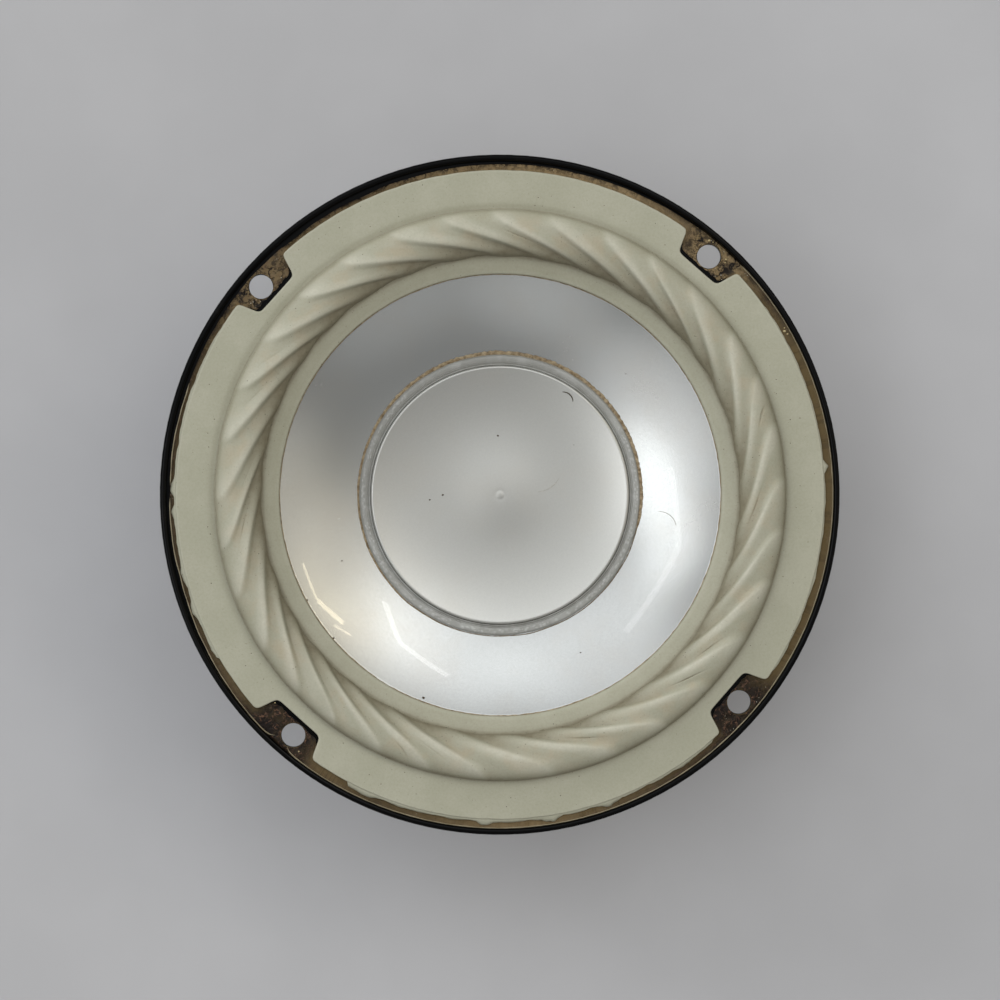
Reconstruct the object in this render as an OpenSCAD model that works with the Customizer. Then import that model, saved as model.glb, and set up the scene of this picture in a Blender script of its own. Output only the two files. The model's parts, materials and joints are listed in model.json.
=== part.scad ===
// Car subwoofer speaker, 165 mm over the rim.
// Millimetres. The origin is the centre of the mounting face, the rear of the rim.
// +Z is the speaker's axis, out of its front. Behind the rim everything is at negative z.

/* [Frame] */
// Diameter over the rim
rim_d = 165; // [158:1:172]
// Thickness of the pressed steel sheet
sheet_t = 1.2; // [0.8:0.1:1.6]
// Width of the rolled lip round the rim
lip_w = 1.5; // [1.2:0.1:2]
// Height of the lip above the mounting face
lip_h = 3.2; // [2.8:0.1:4.5]
// Width of the rim outside the baffle cut-out
rim_band = 12; // [11:0.5:13]
// Depth of the straight wall behind the rim
spigot_h = 9; // [7:0.5:11]
// Distance of the screw holes' centres from the rim's edge
hole_inset = 5.5; // [5:0.25:6]
// Diameter of the screw holes
hole_d = 5.8; // [4:0.1:6.2]
// Width of each arm between two windows
arm_w = 22; // [16:1:28]
// Corner radius of the windows
window_corner_r = 4; // [2:0.5:4.5]
// Band of sheet left above and below each window
window_band = 1.8; // [1:0.1:3]
// Radius of the stiffening rib pressed into each arm
rib_r = 2.4; // [1.8:0.1:3]
// Distance of the rib's inner end from the ledge
rib_inner_inset = 4; // [3:0.5:5]
// Distance of the rib's outer end from the straight wall
rib_outer_inset = 5; // [4:0.5:6]

/* [Surround] */
// Gap between the lip and the surround's outer flange
flange_gap = 2.2; // [1:0.1:3]
// Thickness of the rubber flanges
flange_t = 1.4; // [1:0.1:1.8]
// Width of the half roll
roll_w = 11.4; // [9:0.2:13]
// Height of the half roll above the outer flange
roll_h = 5; // [4:0.2:6.5]
// Thickness of the roll's wall
roll_t = 1.1; // [0.8:0.1:1.4]
// Width of the inner flange, glued on the cone
inner_flange_w = 4.1; // [3:0.1:5]
// How far the inner flange lies below the outer one
inner_flange_drop = 0.9; // [0.3:0.1:2]
// Width of a screw notch at the flange's edge
notch_outer_w = 18.5; // [16:0.5:20]
// Width of a screw notch at its bottom
notch_inner_w = 13.3; // [11:0.1:15]
// Depth of a screw notch
notch_depth = 5.8; // [5:0.1:7]
// Thickness of a glue film
film_t = 0.2; // [0.1:0.05:0.3]

/* [Cone] */
// Depth of the dish, from its edge to the dust cap
dish_depth = 8; // [6:0.25:9.5]
// Slope of the dish beside the dust cap, degrees
dish_slope = 11; // [8:1:14]
// Rise of the cone's edge under the surround
edge_rise = 0.65; // [0.3:0.05:1]
// Thickness of the cone
cone_t = 0.9; // [0.6:0.1:1.2]
// Depth of the neck below the dust cap's seat
neck_depth = 5.6; // [4.5:0.1:6.5]

/* [Dust cap] */
// Diameter of the dust cap
cap_d = 63.6; // [58:0.2:68]
// Height of the cap's edge above the cone
cap_edge_h = 2.2; // [1.6:0.1:3]
// Depth of the cap's dish below its edge
cap_dish = 2; // [1.2:0.1:2.6]
// Height of the raised centre above the dish
cap_centre_h = 0.5; // [0.2:0.1:1]
// Diameter of the raised centre
cap_centre_d = 27; // [20:1:34]
// Radius of the cap's rounded edge
cap_edge_r = 0.8; // [0.6:0.1:1.4]
// Thickness of the cap
cap_t = 0.7; // [0.5:0.1:1]
// Width of the clear glue bead round the cap
bead_w = 2.8; // [1.8:0.1:4]
// Height of the clear glue bead
bead_h = 1.3; // [0.8:0.1:1.5]
// Width of the brown glue line outside the bead
line_w = 0.6; // [0.4:0.1:1]
// Height of the brown glue line
line_h = 0.3; // [0.2:0.1:0.5]

/* [Voice coil] */
// Inner diameter of the coil former
coil_d = 38.4; // [34:0.2:42]
// Thickness of the former
former_t = 0.4; // [0.3:0.05:0.6]
// Thickness of the paper collar wound on the former
collar_t = 0.25; // [0.2:0.05:0.4]
// Thickness of the winding
winding_t = 0.8; // [0.5:0.1:1]
// Length of the winding
winding_h = 14; // [10:0.5:17]
// Length of bare former below the winding
former_tail = 1; // [0.5:0.1:1.5]
// Length of former above the cone's neck
former_head = 0.9; // [0.6:0.1:1.5]
// Size of the glue fillet at the neck
neck_glue_w = 1.4; // [1:0.1:2]

/* [Spider] */
// Diameter of the spider
spider_d = 97; // [93:0.5:101]
// Width of its glued flange
spider_flange_w = 4.6; // [3.5:0.1:5.5]
// Thickness of the spider's cloth
spider_t = 0.5; // [0.4:0.1:0.7]
// Height of its corrugations, each way
spider_amp = 1.6; // [1:0.1:2]
// Height of its turned-up neck
spider_neck_h = 1.8; // [1.2:0.1:2.2]
// Distance from the cone's neck down to the spider
spider_drop = 7; // [6.5:0.25:8.5]

/* [Magnet system] */
// Travel of the cone each way from rest
travel = 7; // [5:0.5:8]
// Diameter of the ferrite ring
magnet_d = 90; // [86:1:96]
// Diameter of the ring's hole
magnet_hole_d = 54; // [50:1:60]
// Thickness of the ring
magnet_h = 15; // [13:0.5:20]
// Diameter of the steel plates
plate_d = 85; // [80:1:86]
// Thickness of the steel plates
plate_t = 5; // [4:0.5:7]
// Bevel on the edges of the plates and the ring
bevel = 0.8; // [0.4:0.1:1.2]
// Diameter of the vent through the pole
vent_d = 11; // [8:0.5:14]
// Widening of the vent at the rear
vent_flare = 2.5; // [1:0.5:4]

/* [Fasteners] */
// Diameter of the rivets that hold the basket to the magnet system
rivet_d = 4; // [3:0.5:5]
// Diameter of their heads
rivet_head_d = 7.4; // [6.5:0.1:8.5]
// Height of their heads
rivet_head_h = 1.3; // [1:0.1:1.5]
// How deep they go into the top plate
rivet_depth = 3.6; // [2.5:0.1:3.8]

/* [Terminals] */
// Width of the terminal board
board_w = 24; // [22:0.5:28]
// Length of the terminal board
board_l = 9.6; // [9:0.2:11]
// Thickness of the terminal board
board_t = 1.6; // [1.2:0.1:2]
// Distance of each terminal from the middle of the board
tab_x = 8; // [7.5:0.25:8.5]
// Width of the positive terminal
positive_w = 6.3; // [5.8:0.1:6.5]
// Width of the negative terminal
negative_w = 4.8; // [4:0.1:5.5]
// Thickness of the terminals
tab_t = 0.8; // [0.6:0.1:1]
// Diameter of the locking hole near a terminal's tip
tab_hole_d = 1.6; // [1.2:0.1:2]
// Distance of the locking hole from the tip
tab_hole_inset = 3.6; // [3:0.1:4.5]
// Diameter of the small rivets
small_rivet_d = 2.2; // [1.6:0.1:2.6]
// Diameter of their heads
small_head_d = 3.8; // [3.2:0.1:4]
// Height of their heads
small_head_h = 0.6; // [0.4:0.1:0.8]
// Width of the lug that carries the board
lug_w = 7; // [5:0.5:8]
// Diameter of the braided lead wires
lead_d = 1.6; // [1.2:0.1:2]
// Rise of the leads between their ends
lead_arch = 1.2; // [0.5:0.1:2]
// Distance of each lead from the middle at the coil
lead_x = 5; // [4:0.25:7]
// Radius of a solder joint
solder_r = 1.7; // [1.5:0.1:2]

/* [Clearances] */
// Seat of one glued piece on another
seat_gap = 0.03; // [0.02:0.01:0.05]
// Radial gap between the pole and the former
pole_gap = 0.45; // [0.3:0.05:0.6]
// Radial gap between the winding and the top plate
plate_gap = 0.5; // [0.35:0.05:0.8]
// Radial gap between the winding and the basket's floor
floor_gap = 1.5; // [1:0.1:2.5]
// Height left under the spider at full travel
floor_clear = 2.5; // [1.5:0.1:4]
// Gap between the spider's moving part and the tub
tub_gap = 0.6; // [0.3:0.1:1]
// Ledge outside the spider
ledge_margin = 1.5; // [1:0.1:2]
// How far the terminals stay inside the baffle cut-out
cutout_margin = 2.5; // [1.5:0.1:4]

/* [Hidden] */
$fn = 128;
round_steps = 6;
curve_steps = 14;
wave_steps = 10;
arms = 4;
hole_angle = 45;
corrugations = 5;

// Radii worked out from the rim inwards
rim_r = rim_d / 2;
lip_ri = rim_r - lip_w;
spigot_r = rim_r - rim_band;
basket_ri = spigot_r - sheet_t;
hole_circle_r = rim_r - hole_inset;
flange_ro = lip_ri - flange_gap;
roll_ro = basket_ri;
roll_ri = roll_ro - roll_w;
roll_mid_r = (roll_ro + roll_ri) / 2;
inner_flange_ri = roll_ri - inner_flange_w;
cone_ro = roll_ri - 0.3;

// Radii worked out from the voice coil outwards
former_ri = coil_d / 2;
former_ro = former_ri + former_t;
collar_ro = former_ro + collar_t;
winding_ro = former_ro + winding_t;
pole_r = former_ri - pole_gap;
plate_bore_r = winding_ro + plate_gap;
floor_hole_r = winding_ro + floor_gap;
neck_ri = collar_ro + seat_gap;
spider_ro = spider_d / 2;
spider_wave_ri = neck_ri + 1.2;
spider_wave_ro = spider_ro - spider_flange_w;
tub_ri = spider_wave_ro - tub_gap;
tub_ro = tub_ri + sheet_t;
ledge_ro = spider_ro + ledge_margin;
window_ri = ledge_ro + window_band;
window_ro = basket_ri - window_band;
cap_r = cap_d / 2;
cap_seat_r = cap_r - 1;
magnet_r = magnet_d / 2;
plate_r = plate_d / 2;
rivet_circle_r = (floor_hole_r + tub_ri) / 2;

// Heights, from the rim down
flange_z = sheet_t + film_t;
flange_top = flange_z + flange_t;
inner_flange_top = flange_top - inner_flange_drop;
cone_edge_z = inner_flange_top - flange_t;
dish_top_z = cone_edge_z - edge_rise;
dish_low_z = dish_top_z - dish_depth;
neck_z = dish_low_z - neck_depth;
spider_z = neck_z - spider_drop;
ledge_z = spider_z - spider_t / 2 - film_t;
floor_z = spider_z - spider_t / 2 - spider_amp - travel - floor_clear;
plate_z = floor_z - sheet_t;
magnet_z = plate_z - plate_t - film_t;
back_z = magnet_z - magnet_h - film_t;
rear_z = back_z - plate_t;
winding_z = plate_z - plate_t / 2 - winding_h / 2;
former_z = winding_z - former_tail;
wall_rise = -spigot_h - ledge_z;
wall_run = basket_ri - ledge_ro;
wall_slope = wall_rise / wall_run;
wall_drop = sheet_t / cos(atan(wall_slope));

// The dish: a parabola that starts at dish_slope beside the cap
dish_run = inner_flange_ri - cap_seat_r;
dish_s = tan(dish_slope);
dish_k = (dish_depth - dish_s * dish_run) / pow(dish_run, 2);
neck_s = neck_depth / (cap_seat_r - neck_ri);
function dish_z(r) = let (d = r - cap_seat_r)
    d < 0 ? dish_low_z + neck_s * d : dish_low_z + dish_s * d + dish_k * d * d;

// The dust cap: a raised centre, a dish and a rounded edge
cap_crest_z = dish_z(cap_r) + cap_edge_h;
cap_low_z = cap_crest_z - cap_dish;
cap_centre_r = cap_centre_d / 2;
cap_crest_r = cap_r - cap_edge_r;
cap_under_r = max(cap_edge_r - cap_t, 0.1);
function cap_z(r) = r < cap_centre_r
    ? cap_low_z + cap_centre_h * (1 + cos(180 * r / cap_centre_r)) / 2
    : cap_low_z + cap_dish * pow((r - cap_centre_r) / (cap_crest_r - cap_centre_r), 2);

// Terminals, on the side that faces -Y
board_y = -window_ri - 0.8;
board_z = ledge_z;
board_top = board_z + board_t;
tab_in_y = board_y - 0.6;
tab_top = board_top + tab_t;
tab_out_y = -(spigot_r - cutout_margin);
tab_rivet_y = board_y - board_l * 0.62;
lug_rivet_y = board_y - board_l / 2;
lead_r = lead_d / 2;
lead_end = [tab_x, tab_in_y - 0.9, tab_top + lead_r + 0.05];
lead_start = [lead_x, -sqrt(pow(collar_ro, 2) - pow(lead_x, 2)) - 1.3, (neck_z + spider_z) / 2 + 0.6];
lead_steps = 16;
lead_sides = 8;

function unit(v) = v / norm(v);

// The corner b of the path a-b-c, rounded to radius r
function corner(a, b, c, r) = r == 0 ? [b] : let (
    u = unit(a - b),
    v = unit(c - b),
    half = acos(u * v) / 2,
    from = b + u * r / tan(half),
    to = b + v * r / tan(half),
    centre = b + unit(u + v) * r / sin(half),
    a0 = atan2(from[1] - centre[1], from[0] - centre[0]),
    a1 = atan2(to[1] - centre[1], to[0] - centre[0]),
    turn = a1 - a0 > 180 ? a1 - a0 - 360 : a1 - a0 < -180 ? a1 - a0 + 360 : a1 - a0
) [for (i = [0:round_steps]) let (t = a0 + turn * i / round_steps) centre + r * [cos(t), sin(t)]];

// A closed outline from points [x, y, corner radius]
function rounded(pts) = let (n = len(pts)) [
    for (i = [0:n - 1])
        let (a = pts[(i + n - 1) % n], b = pts[i], c = pts[(i + 1) % n])
            for (p = corner([a[0], a[1]], [b[0], b[1]], [c[0], c[1]], b[2])) p
];

// A plain ring from r0 to r1 and from z0 to z1
module ring(r0, r1, z0, z1) {
    rotate_extrude() translate([r0, z0]) square([r1 - r0, z1 - z0]);
}

// A ring with bevelled outer edges
module bevelled_ring(r0, r1, z0, z1) {
    rotate_extrude() polygon([
        [r0, z0], [r1 - bevel, z0], [r1, z0 + bevel],
        [r1, z1 - bevel], [r1 - bevel, z1], [r0, z1],
    ]);
}

module at_arms(r) {
    for (i = [0:arms - 1]) rotate(hole_angle + 360 / arms * i) translate([r, 0, 0]) children();
}

// ---- Frame ----

basket_section = rounded([
    [floor_hole_r, floor_z, 0],
    [floor_hole_r, plate_z, 0],
    [tub_ro, plate_z, 1.6],
    [tub_ro, ledge_z - sheet_t, 0.6],
    [ledge_ro + (wall_drop - sheet_t) / wall_slope, ledge_z - sheet_t, 0],
    [spigot_r, -spigot_h + wall_slope * sheet_t - wall_drop, 2],
    [spigot_r, 0, 0],
    [rim_r, 0, 0.9],
    [rim_r, lip_h, lip_w * 0.45],
    [lip_ri, lip_h, lip_w * 0.45],
    [lip_ri, sheet_t, 0],
    [basket_ri, sheet_t, 0.5],
    [basket_ri, -spigot_h, 0.8],
    [ledge_ro, ledge_z, 0],
    [tub_ri, ledge_z, 0.5],
    [tub_ri, floor_z, 0.6],
]);

window_half = 180 / arms - asin(arm_w / (window_ri + window_ro));
window_outline = rounded(concat(
    [for (i = [0:10]) let (a = window_half * (i / 5 - 1))
        [window_ri * cos(a), window_ri * sin(a), i % 10 == 0 ? window_corner_r : 0]],
    [for (i = [0:10]) let (a = window_half * (1 - i / 5))
        [window_ro * cos(a), window_ro * sin(a), i % 10 == 0 ? window_corner_r : 0]]
));

module windows() {
    for (i = [0:arms - 1]) rotate(360 / arms * i)
        translate([0, 0, ledge_z - sheet_t - 1])
            linear_extrude(-spigot_h - ledge_z + sheet_t + 2) polygon(window_outline);
}

module arm_rib() {
    low = [ledge_ro + rib_inner_inset, ledge_z + wall_slope * rib_inner_inset - wall_drop];
    high = [spigot_r - rib_outer_inset, -spigot_h - wall_slope * (rib_outer_inset - sheet_t) - wall_drop];
    length = norm(high - low);
    tilt = atan(wall_slope);
    translate([low[0], 0, low[1]]) rotate([0, 90 - tilt, 0])
        translate([rib_r - sheet_t, 0, 0]) {
            cylinder(r = rib_r, h = length);
            sphere(r = rib_r);
            translate([0, 0, length]) sphere(r = rib_r);
        }
}

module terminal_lug() {
    length = -ledge_ro - board_y + board_l + 1;
    translate([-lug_w / 2, board_y - board_l + 0.6, ledge_z - sheet_t])
        cube([lug_w, length, sheet_t]);
}

module basket() {
    color([0.07, 0.07, 0.075]) difference() {
        union() {
            difference() {
                union() {
                    rotate_extrude() polygon(basket_section);
                    at_arms(0) arm_rib();
                }
                windows();
            }
            terminal_lug();
        }
        at_arms(hole_circle_r) translate([0, 0, -1]) cylinder(d = hole_d, h = sheet_t + 2);
        at_arms(rivet_circle_r) translate([0, 0, plate_z - 1])
            cylinder(d = rivet_d, h = sheet_t + 2);
        translate([0, lug_rivet_y, ledge_z - sheet_t - 1])
            cylinder(d = small_rivet_d, h = sheet_t + 2, $fn = 32);
    }
}

// Brown glue on the flat of the rim
module rim_adhesive() {
    color([0.30, 0.24, 0.17]) difference() {
        ring(basket_ri + 0.4, lip_ri - 0.1, sheet_t, flange_z);
        at_arms(hole_circle_r) translate([0, 0, sheet_t - 1]) cylinder(d = hole_d + 0.6, h = film_t + 2);
    }
}

// ---- Surround ----

// Height of the line between the roll's feet, at angle a round the roll
function roll_base(a, z_out, z_in) = (z_out + z_in + (z_out - z_in) * cos(a)) / 2;
surround_section = concat(
    [[flange_ro, flange_z], [flange_ro, flange_top]],
    [for (i = [0:curve_steps]) let (a = 180 * i / curve_steps)
        [roll_mid_r + roll_w / 2 * cos(a),
            roll_base(a, flange_top, inner_flange_top) + roll_h * sin(a)]],
    [[inner_flange_ri, inner_flange_top - edge_rise],
        [inner_flange_ri, dish_top_z + seat_gap],
        [cone_ro, cone_edge_z + seat_gap]],
    [for (i = [0:curve_steps]) let (a = 180 - 180 * i / curve_steps)
        [roll_mid_r + (roll_w / 2 - roll_t) * cos(a),
            roll_base(a, flange_z, cone_edge_z + seat_gap)
                + (roll_h + flange_t - roll_t) * sin(a)]]
);

notch_outline = rounded([
    [flange_ro - notch_depth, -notch_inner_w / 2, 2],
    [flange_ro, -notch_outer_w / 2, 0],
    [flange_ro + 2, -notch_outer_w / 2 - 2, 0],
    [flange_ro + 2, notch_outer_w / 2 + 2, 0],
    [flange_ro, notch_outer_w / 2, 0],
    [flange_ro - notch_depth, notch_inner_w / 2, 2],
]);

module surround() {
    color([0.63, 0.62, 0.54]) difference() {
        rotate_extrude() polygon(surround_section);
        at_arms(0) translate([0, 0, flange_z - 1]) linear_extrude(flange_t + 2)
            polygon(notch_outline);
    }
}

// ---- Moving parts ----

cone_top = concat(
    [[neck_ri, neck_z]],
    [for (i = [0:curve_steps]) let (r = cap_seat_r + dish_run * i / curve_steps) [r, dish_z(r)]],
    [[cone_ro, cone_edge_z]]
);
cone_points = len(cone_top);

module cone() {
    color([0.70, 0.71, 0.70]) rotate_extrude() polygon(concat(
        cone_top,
        [for (i = [cone_points - 1:-1:0]) cone_top[i] - [0, cone_t]]
    ));
}

cap_steps = 12;
cap_top = concat(
    [for (i = [0:cap_steps]) let (r = cap_crest_r * i / cap_steps) [r, cap_z(r)]],
    [for (i = [1:round_steps]) let (a = 90 - 90 * i / round_steps)
        [cap_crest_r + cap_edge_r * cos(a), cap_crest_z - cap_edge_r * (1 - sin(a))]],
    [[cap_r, dish_z(cap_r) + seat_gap]]
);
cap_under = concat(
    [[cap_r - cap_t, dish_z(cap_r) + seat_gap]],
    [for (i = [round_steps:-1:1]) let (a = 90 - 90 * i / round_steps)
        [cap_r - cap_t - cap_under_r * (1 - cos(a)),
            cap_crest_z - cap_t - cap_under_r * (1 - sin(a))]],
    [for (i = [cap_steps:-1:0]) let (r = (cap_r - cap_t - cap_under_r) * i / cap_steps)
        [r, cap_z(r) - cap_t]]
);

module dust_cap() {
    color([0.68, 0.68, 0.65]) rotate_extrude() polygon(concat(cap_top, cap_under));
}

// Clear glue between the cap's edge and the cone
module cap_glue_bead() {
    color([0.72, 0.71, 0.66]) rotate_extrude() polygon(concat(
        [for (i = [0:4]) let (r = cap_r + seat_gap + bead_w * i / 4)
            [r, dish_z(r) + seat_gap * 2]],
        [for (i = [4:-1:0]) let (r = cap_r + seat_gap + bead_w * i / 4)
            [r, dish_z(r) + seat_gap * 2 + 0.15 + (bead_h - 0.15) * pow(1 - i / 4, 2)]]
    ));
}

module cap_glue_line() {
    r = cap_r + bead_w + seat_gap * 2;
    color([0.36, 0.28, 0.17]) rotate_extrude() polygon([
        [r, dish_z(r) + seat_gap],
        [r + line_w, dish_z(r + line_w) + seat_gap],
        [r + line_w * 0.8, dish_z(r + line_w) + line_h],
        [r + line_w * 0.2, dish_z(r) + line_h],
    ]);
}

module neck_glue() {
    color([0.16, 0.13, 0.10]) rotate_extrude() polygon([
        [neck_ri, neck_z + seat_gap],
        [neck_ri + neck_glue_w, neck_z + neck_s * neck_glue_w + seat_gap],
        [neck_ri, neck_z + former_head],
    ]);
}

module voice_coil_former() {
    color([0.66, 0.50, 0.28]) ring(former_ri, former_ro, former_z, neck_z + former_head);
}

module coil_winding() {
    color([0.72, 0.36, 0.18]) ring(former_ro, winding_ro, winding_z, winding_z + winding_h);
}

module coil_collar() {
    color([0.55, 0.42, 0.26]) ring(former_ro, collar_ro, winding_z + winding_h, neck_z + former_head);
}

// One at each lead, seated on the collar, with a flat face where the lead starts
module coil_solder_joints() {
    root = solder_r * 1.5;
    color([0.72, 0.73, 0.74]) for (side = [-1, 1]) difference() {
        translate([side * lead_start[0], lead_start[1] + root, lead_start[2]]) rotate([90, 0, 0])
            cylinder(r1 = solder_r, r2 = lead_r * 1.2, h = root, $fn = 32);
        translate([0, 0, lead_start[2] - root]) cylinder(r = neck_ri, h = root * 2);
    }
}

spider_run = spider_wave_ro - spider_wave_ri;
spider_line = concat(
    [[neck_ri + 0.6, spider_z]],
    [for (i = [0:corrugations * wave_steps]) let (t = i / (corrugations * wave_steps))
        [spider_wave_ri + spider_run * t,
            spider_z - spider_amp * sin(360 * corrugations * t)]],
    [[spider_ro, spider_z]]
);
spider_points = len(spider_line);

module spider() {
    color([0.73, 0.60, 0.28]) rotate_extrude() polygon(concat(
        [[neck_ri, spider_z - spider_t / 2], [neck_ri, spider_z + spider_neck_h],
            [neck_ri + 0.6, spider_z + spider_neck_h]],
        [for (p = spider_line) p + [0, spider_t / 2]],
        [for (i = [spider_points - 1:-1:0]) spider_line[i] - [0, spider_t / 2]]
    ));
}

module spider_adhesive() {
    color([0.42, 0.30, 0.16]) ring(spider_wave_ro, spider_ro, ledge_z, ledge_z + film_t);
}

// ---- Magnet system ----

module top_plate() {
    color([0.62, 0.62, 0.58]) difference() {
        bevelled_ring(plate_bore_r, plate_r, plate_z - plate_t, plate_z);
        at_arms(rivet_circle_r) translate([0, 0, plate_z - rivet_depth - 0.2])
            cylinder(d = rivet_d, h = rivet_depth + 1);
    }
}

module magnet() {
    color([0.16, 0.16, 0.17])
        bevelled_ring(magnet_hole_d / 2, magnet_r, magnet_z - magnet_h, magnet_z);
}

module magnet_front_adhesive() {
    color([0.10, 0.10, 0.11]) ring(magnet_hole_d / 2 + 0.5, plate_r - bevel, magnet_z, magnet_z + film_t);
}

module magnet_rear_adhesive() {
    color([0.10, 0.10, 0.11]) ring(magnet_hole_d / 2 + 0.5, plate_r - bevel, back_z, back_z + film_t);
}

module t_yoke() {
    color([0.62, 0.62, 0.58]) rotate_extrude() polygon([
        [vent_d / 2 + vent_flare, rear_z], [plate_r - bevel, rear_z], [plate_r, rear_z + bevel],
        [plate_r, back_z - bevel], [plate_r - bevel, back_z], [pole_r, back_z],
        [pole_r, plate_z - bevel / 2], [pole_r - bevel / 2, plate_z],
        [vent_d / 2, plate_z], [vent_d / 2, rear_z + vent_flare * 1.6],
    ]);
}

module basket_rivets() {
    color([0.66, 0.66, 0.64]) at_arms(rivet_circle_r) {
        translate([0, 0, plate_z - rivet_depth]) cylinder(d = rivet_d, h = rivet_depth + sheet_t);
        translate([0, 0, floor_z]) rotate_extrude() polygon([
            [0, 0], [rivet_head_d / 2, 0], [rivet_head_d / 2, rivet_head_h * 0.4],
            [rivet_head_d * 0.36, rivet_head_h * 0.85], [rivet_head_d * 0.2, rivet_head_h], [0, rivet_head_h],
        ]);
    }
}

// ---- Terminals and leads ----

module small_hole(x, y) {
    translate([x, y, board_z - 1]) cylinder(d = small_rivet_d, h = board_t + tab_t + 2, $fn = 32);
}

module terminal_board() {
    color([0.20, 0.13, 0.08]) difference() {
        translate([0, 0, board_z]) linear_extrude(board_t) polygon(rounded([
            [-board_w / 2, board_y, 1], [-board_w / 2, board_y - board_l, 1],
            [board_w / 2, board_y - board_l, 1], [board_w / 2, board_y, 1],
        ]));
        for (x = [-tab_x, tab_x]) small_hole(x, tab_rivet_y);
        small_hole(0, lug_rivet_y);
    }
}

module terminal_tab(x, w) {
    tip = min(w * 0.22, 1.2);
    difference() {
        translate([0, 0, board_top]) linear_extrude(tab_t) polygon([
            [x - w / 2, tab_in_y], [x - w / 2, tab_out_y + tip * 1.4], [x - w / 2 + tip, tab_out_y],
            [x + w / 2 - tip, tab_out_y], [x + w / 2, tab_out_y + tip * 1.4], [x + w / 2, tab_in_y],
        ]);
        small_hole(x, tab_rivet_y);
        translate([x, tab_out_y + tab_hole_inset, board_top - 1])
            cylinder(d = tab_hole_d, h = tab_t + 2, $fn = 32);
    }
}

module terminal_tab_positive() {
    color([0.78, 0.66, 0.36]) terminal_tab(tab_x, positive_w);
}

module terminal_tab_negative() {
    color([0.78, 0.66, 0.36]) terminal_tab(-tab_x, negative_w);
}

// A rivet through everything between z0 and z1, with a head at each end
module small_rivet(x, y, z0, z1) {
    translate([x, y, z0]) cylinder(d = small_rivet_d, h = z1 - z0, $fn = 32);
    translate([x, y, z1]) cylinder(d1 = small_head_d, d2 = small_head_d * 0.7, h = small_head_h, $fn = 32);
    translate([x, y, z0 - small_head_h]) cylinder(d = small_head_d, h = small_head_h, $fn = 32);
}

module terminal_rivets() {
    color([0.66, 0.66, 0.64]) {
        for (x = [-tab_x, tab_x]) small_rivet(x, tab_rivet_y, board_z, tab_top);
        small_rivet(0, lug_rivet_y, ledge_z - sheet_t, board_top);
    }
}

// A dome on each terminal, with a flat face where the lead ends
module terminal_solder_joints() {
    color([0.72, 0.73, 0.74]) for (side = [-1, 1]) intersection() {
        translate([side * lead_end[0], lead_end[1], tab_top]) sphere(r = solder_r + 0.1, $fn = 32);
        translate([side * lead_end[0] - solder_r * 2, lead_end[1] - solder_r * 4, tab_top])
            cube(solder_r * 4);
    }
}

// One ring of a lead, square to its direction
function lead_ring(p, dir) = let (side = unit(cross(dir, [0, 0, 1])), up = cross(side, dir))
    [for (i = [0:lead_sides - 1]) let (a = 360 * i / lead_sides)
        p + lead_r * (cos(a) * side + sin(a) * up)];

// A lead leaves and arrives along Y, and arches between its ends
function lead_point(t, side) = let (s = t * t * (3 - 2 * t), run = lead_end - lead_start) [
    side * (lead_start[0] + run[0] * s),
    lead_start[1] + run[1] * t,
    lead_start[2] + run[2] * s + lead_arch * pow(sin(180 * t), 2),
];

module tinsel_lead(side) {
    points = [for (i = [0:lead_steps]) lead_point(i / lead_steps, side)];
    rings = [for (i = [0:lead_steps]) lead_ring(points[i], i == 0 || i == lead_steps
        ? [0, -1, 0] : unit(points[i + 1] - points[i - 1]))];
    polyhedron(
        points = [for (ring = rings) for (p = ring) p],
        faces = concat(
            [[for (j = [0:lead_sides - 1]) j]],
            [for (i = [0:lead_steps - 1]) for (j = [0:lead_sides - 1]) let (
                k = (j + 1) % lead_sides, a = i * lead_sides, b = a + lead_sides)
                [a + j, b + j, b + k, a + k]],
            [[for (j = [lead_sides - 1:-1:0]) lead_steps * lead_sides + j]]
        )
    );
}

module tinsel_lead_positive() {
    color([0.70, 0.62, 0.50]) tinsel_lead(1);
}

module tinsel_lead_negative() {
    color([0.70, 0.62, 0.50]) tinsel_lead(-1);
}

basket();
rim_adhesive();
surround();
cone();
dust_cap();
cap_glue_bead();
cap_glue_line();
neck_glue();
voice_coil_former();
coil_winding();
coil_collar();
coil_solder_joints();
spider();
spider_adhesive();
top_plate();
magnet();
t_yoke();
magnet_front_adhesive();
magnet_rear_adhesive();
basket_rivets();
terminal_board();
terminal_tab_positive();
terminal_tab_negative();
terminal_rivets();
terminal_solder_joints();
tinsel_lead_positive();
tinsel_lead_negative();
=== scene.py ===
"""Dresses a car subwoofer driver: its enamel, rubber, lacquer, glue, cloth, wire and plate.

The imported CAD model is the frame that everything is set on. Lengths in the classes are
millimetres in the row frame, and meshes are made in metres. +Z points out of the driver's
front. Angles round the driver run clockwise from +Y, as seen from the front.
"""

import json
import logging
import math
from collections.abc import Iterable, Mapping, Sequence
from dataclasses import dataclass, field
from enum import Enum
from typing import ClassVar, NamedTuple

import bpy
import numpy as np
from mathutils import Matrix, Quaternion, Vector

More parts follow.
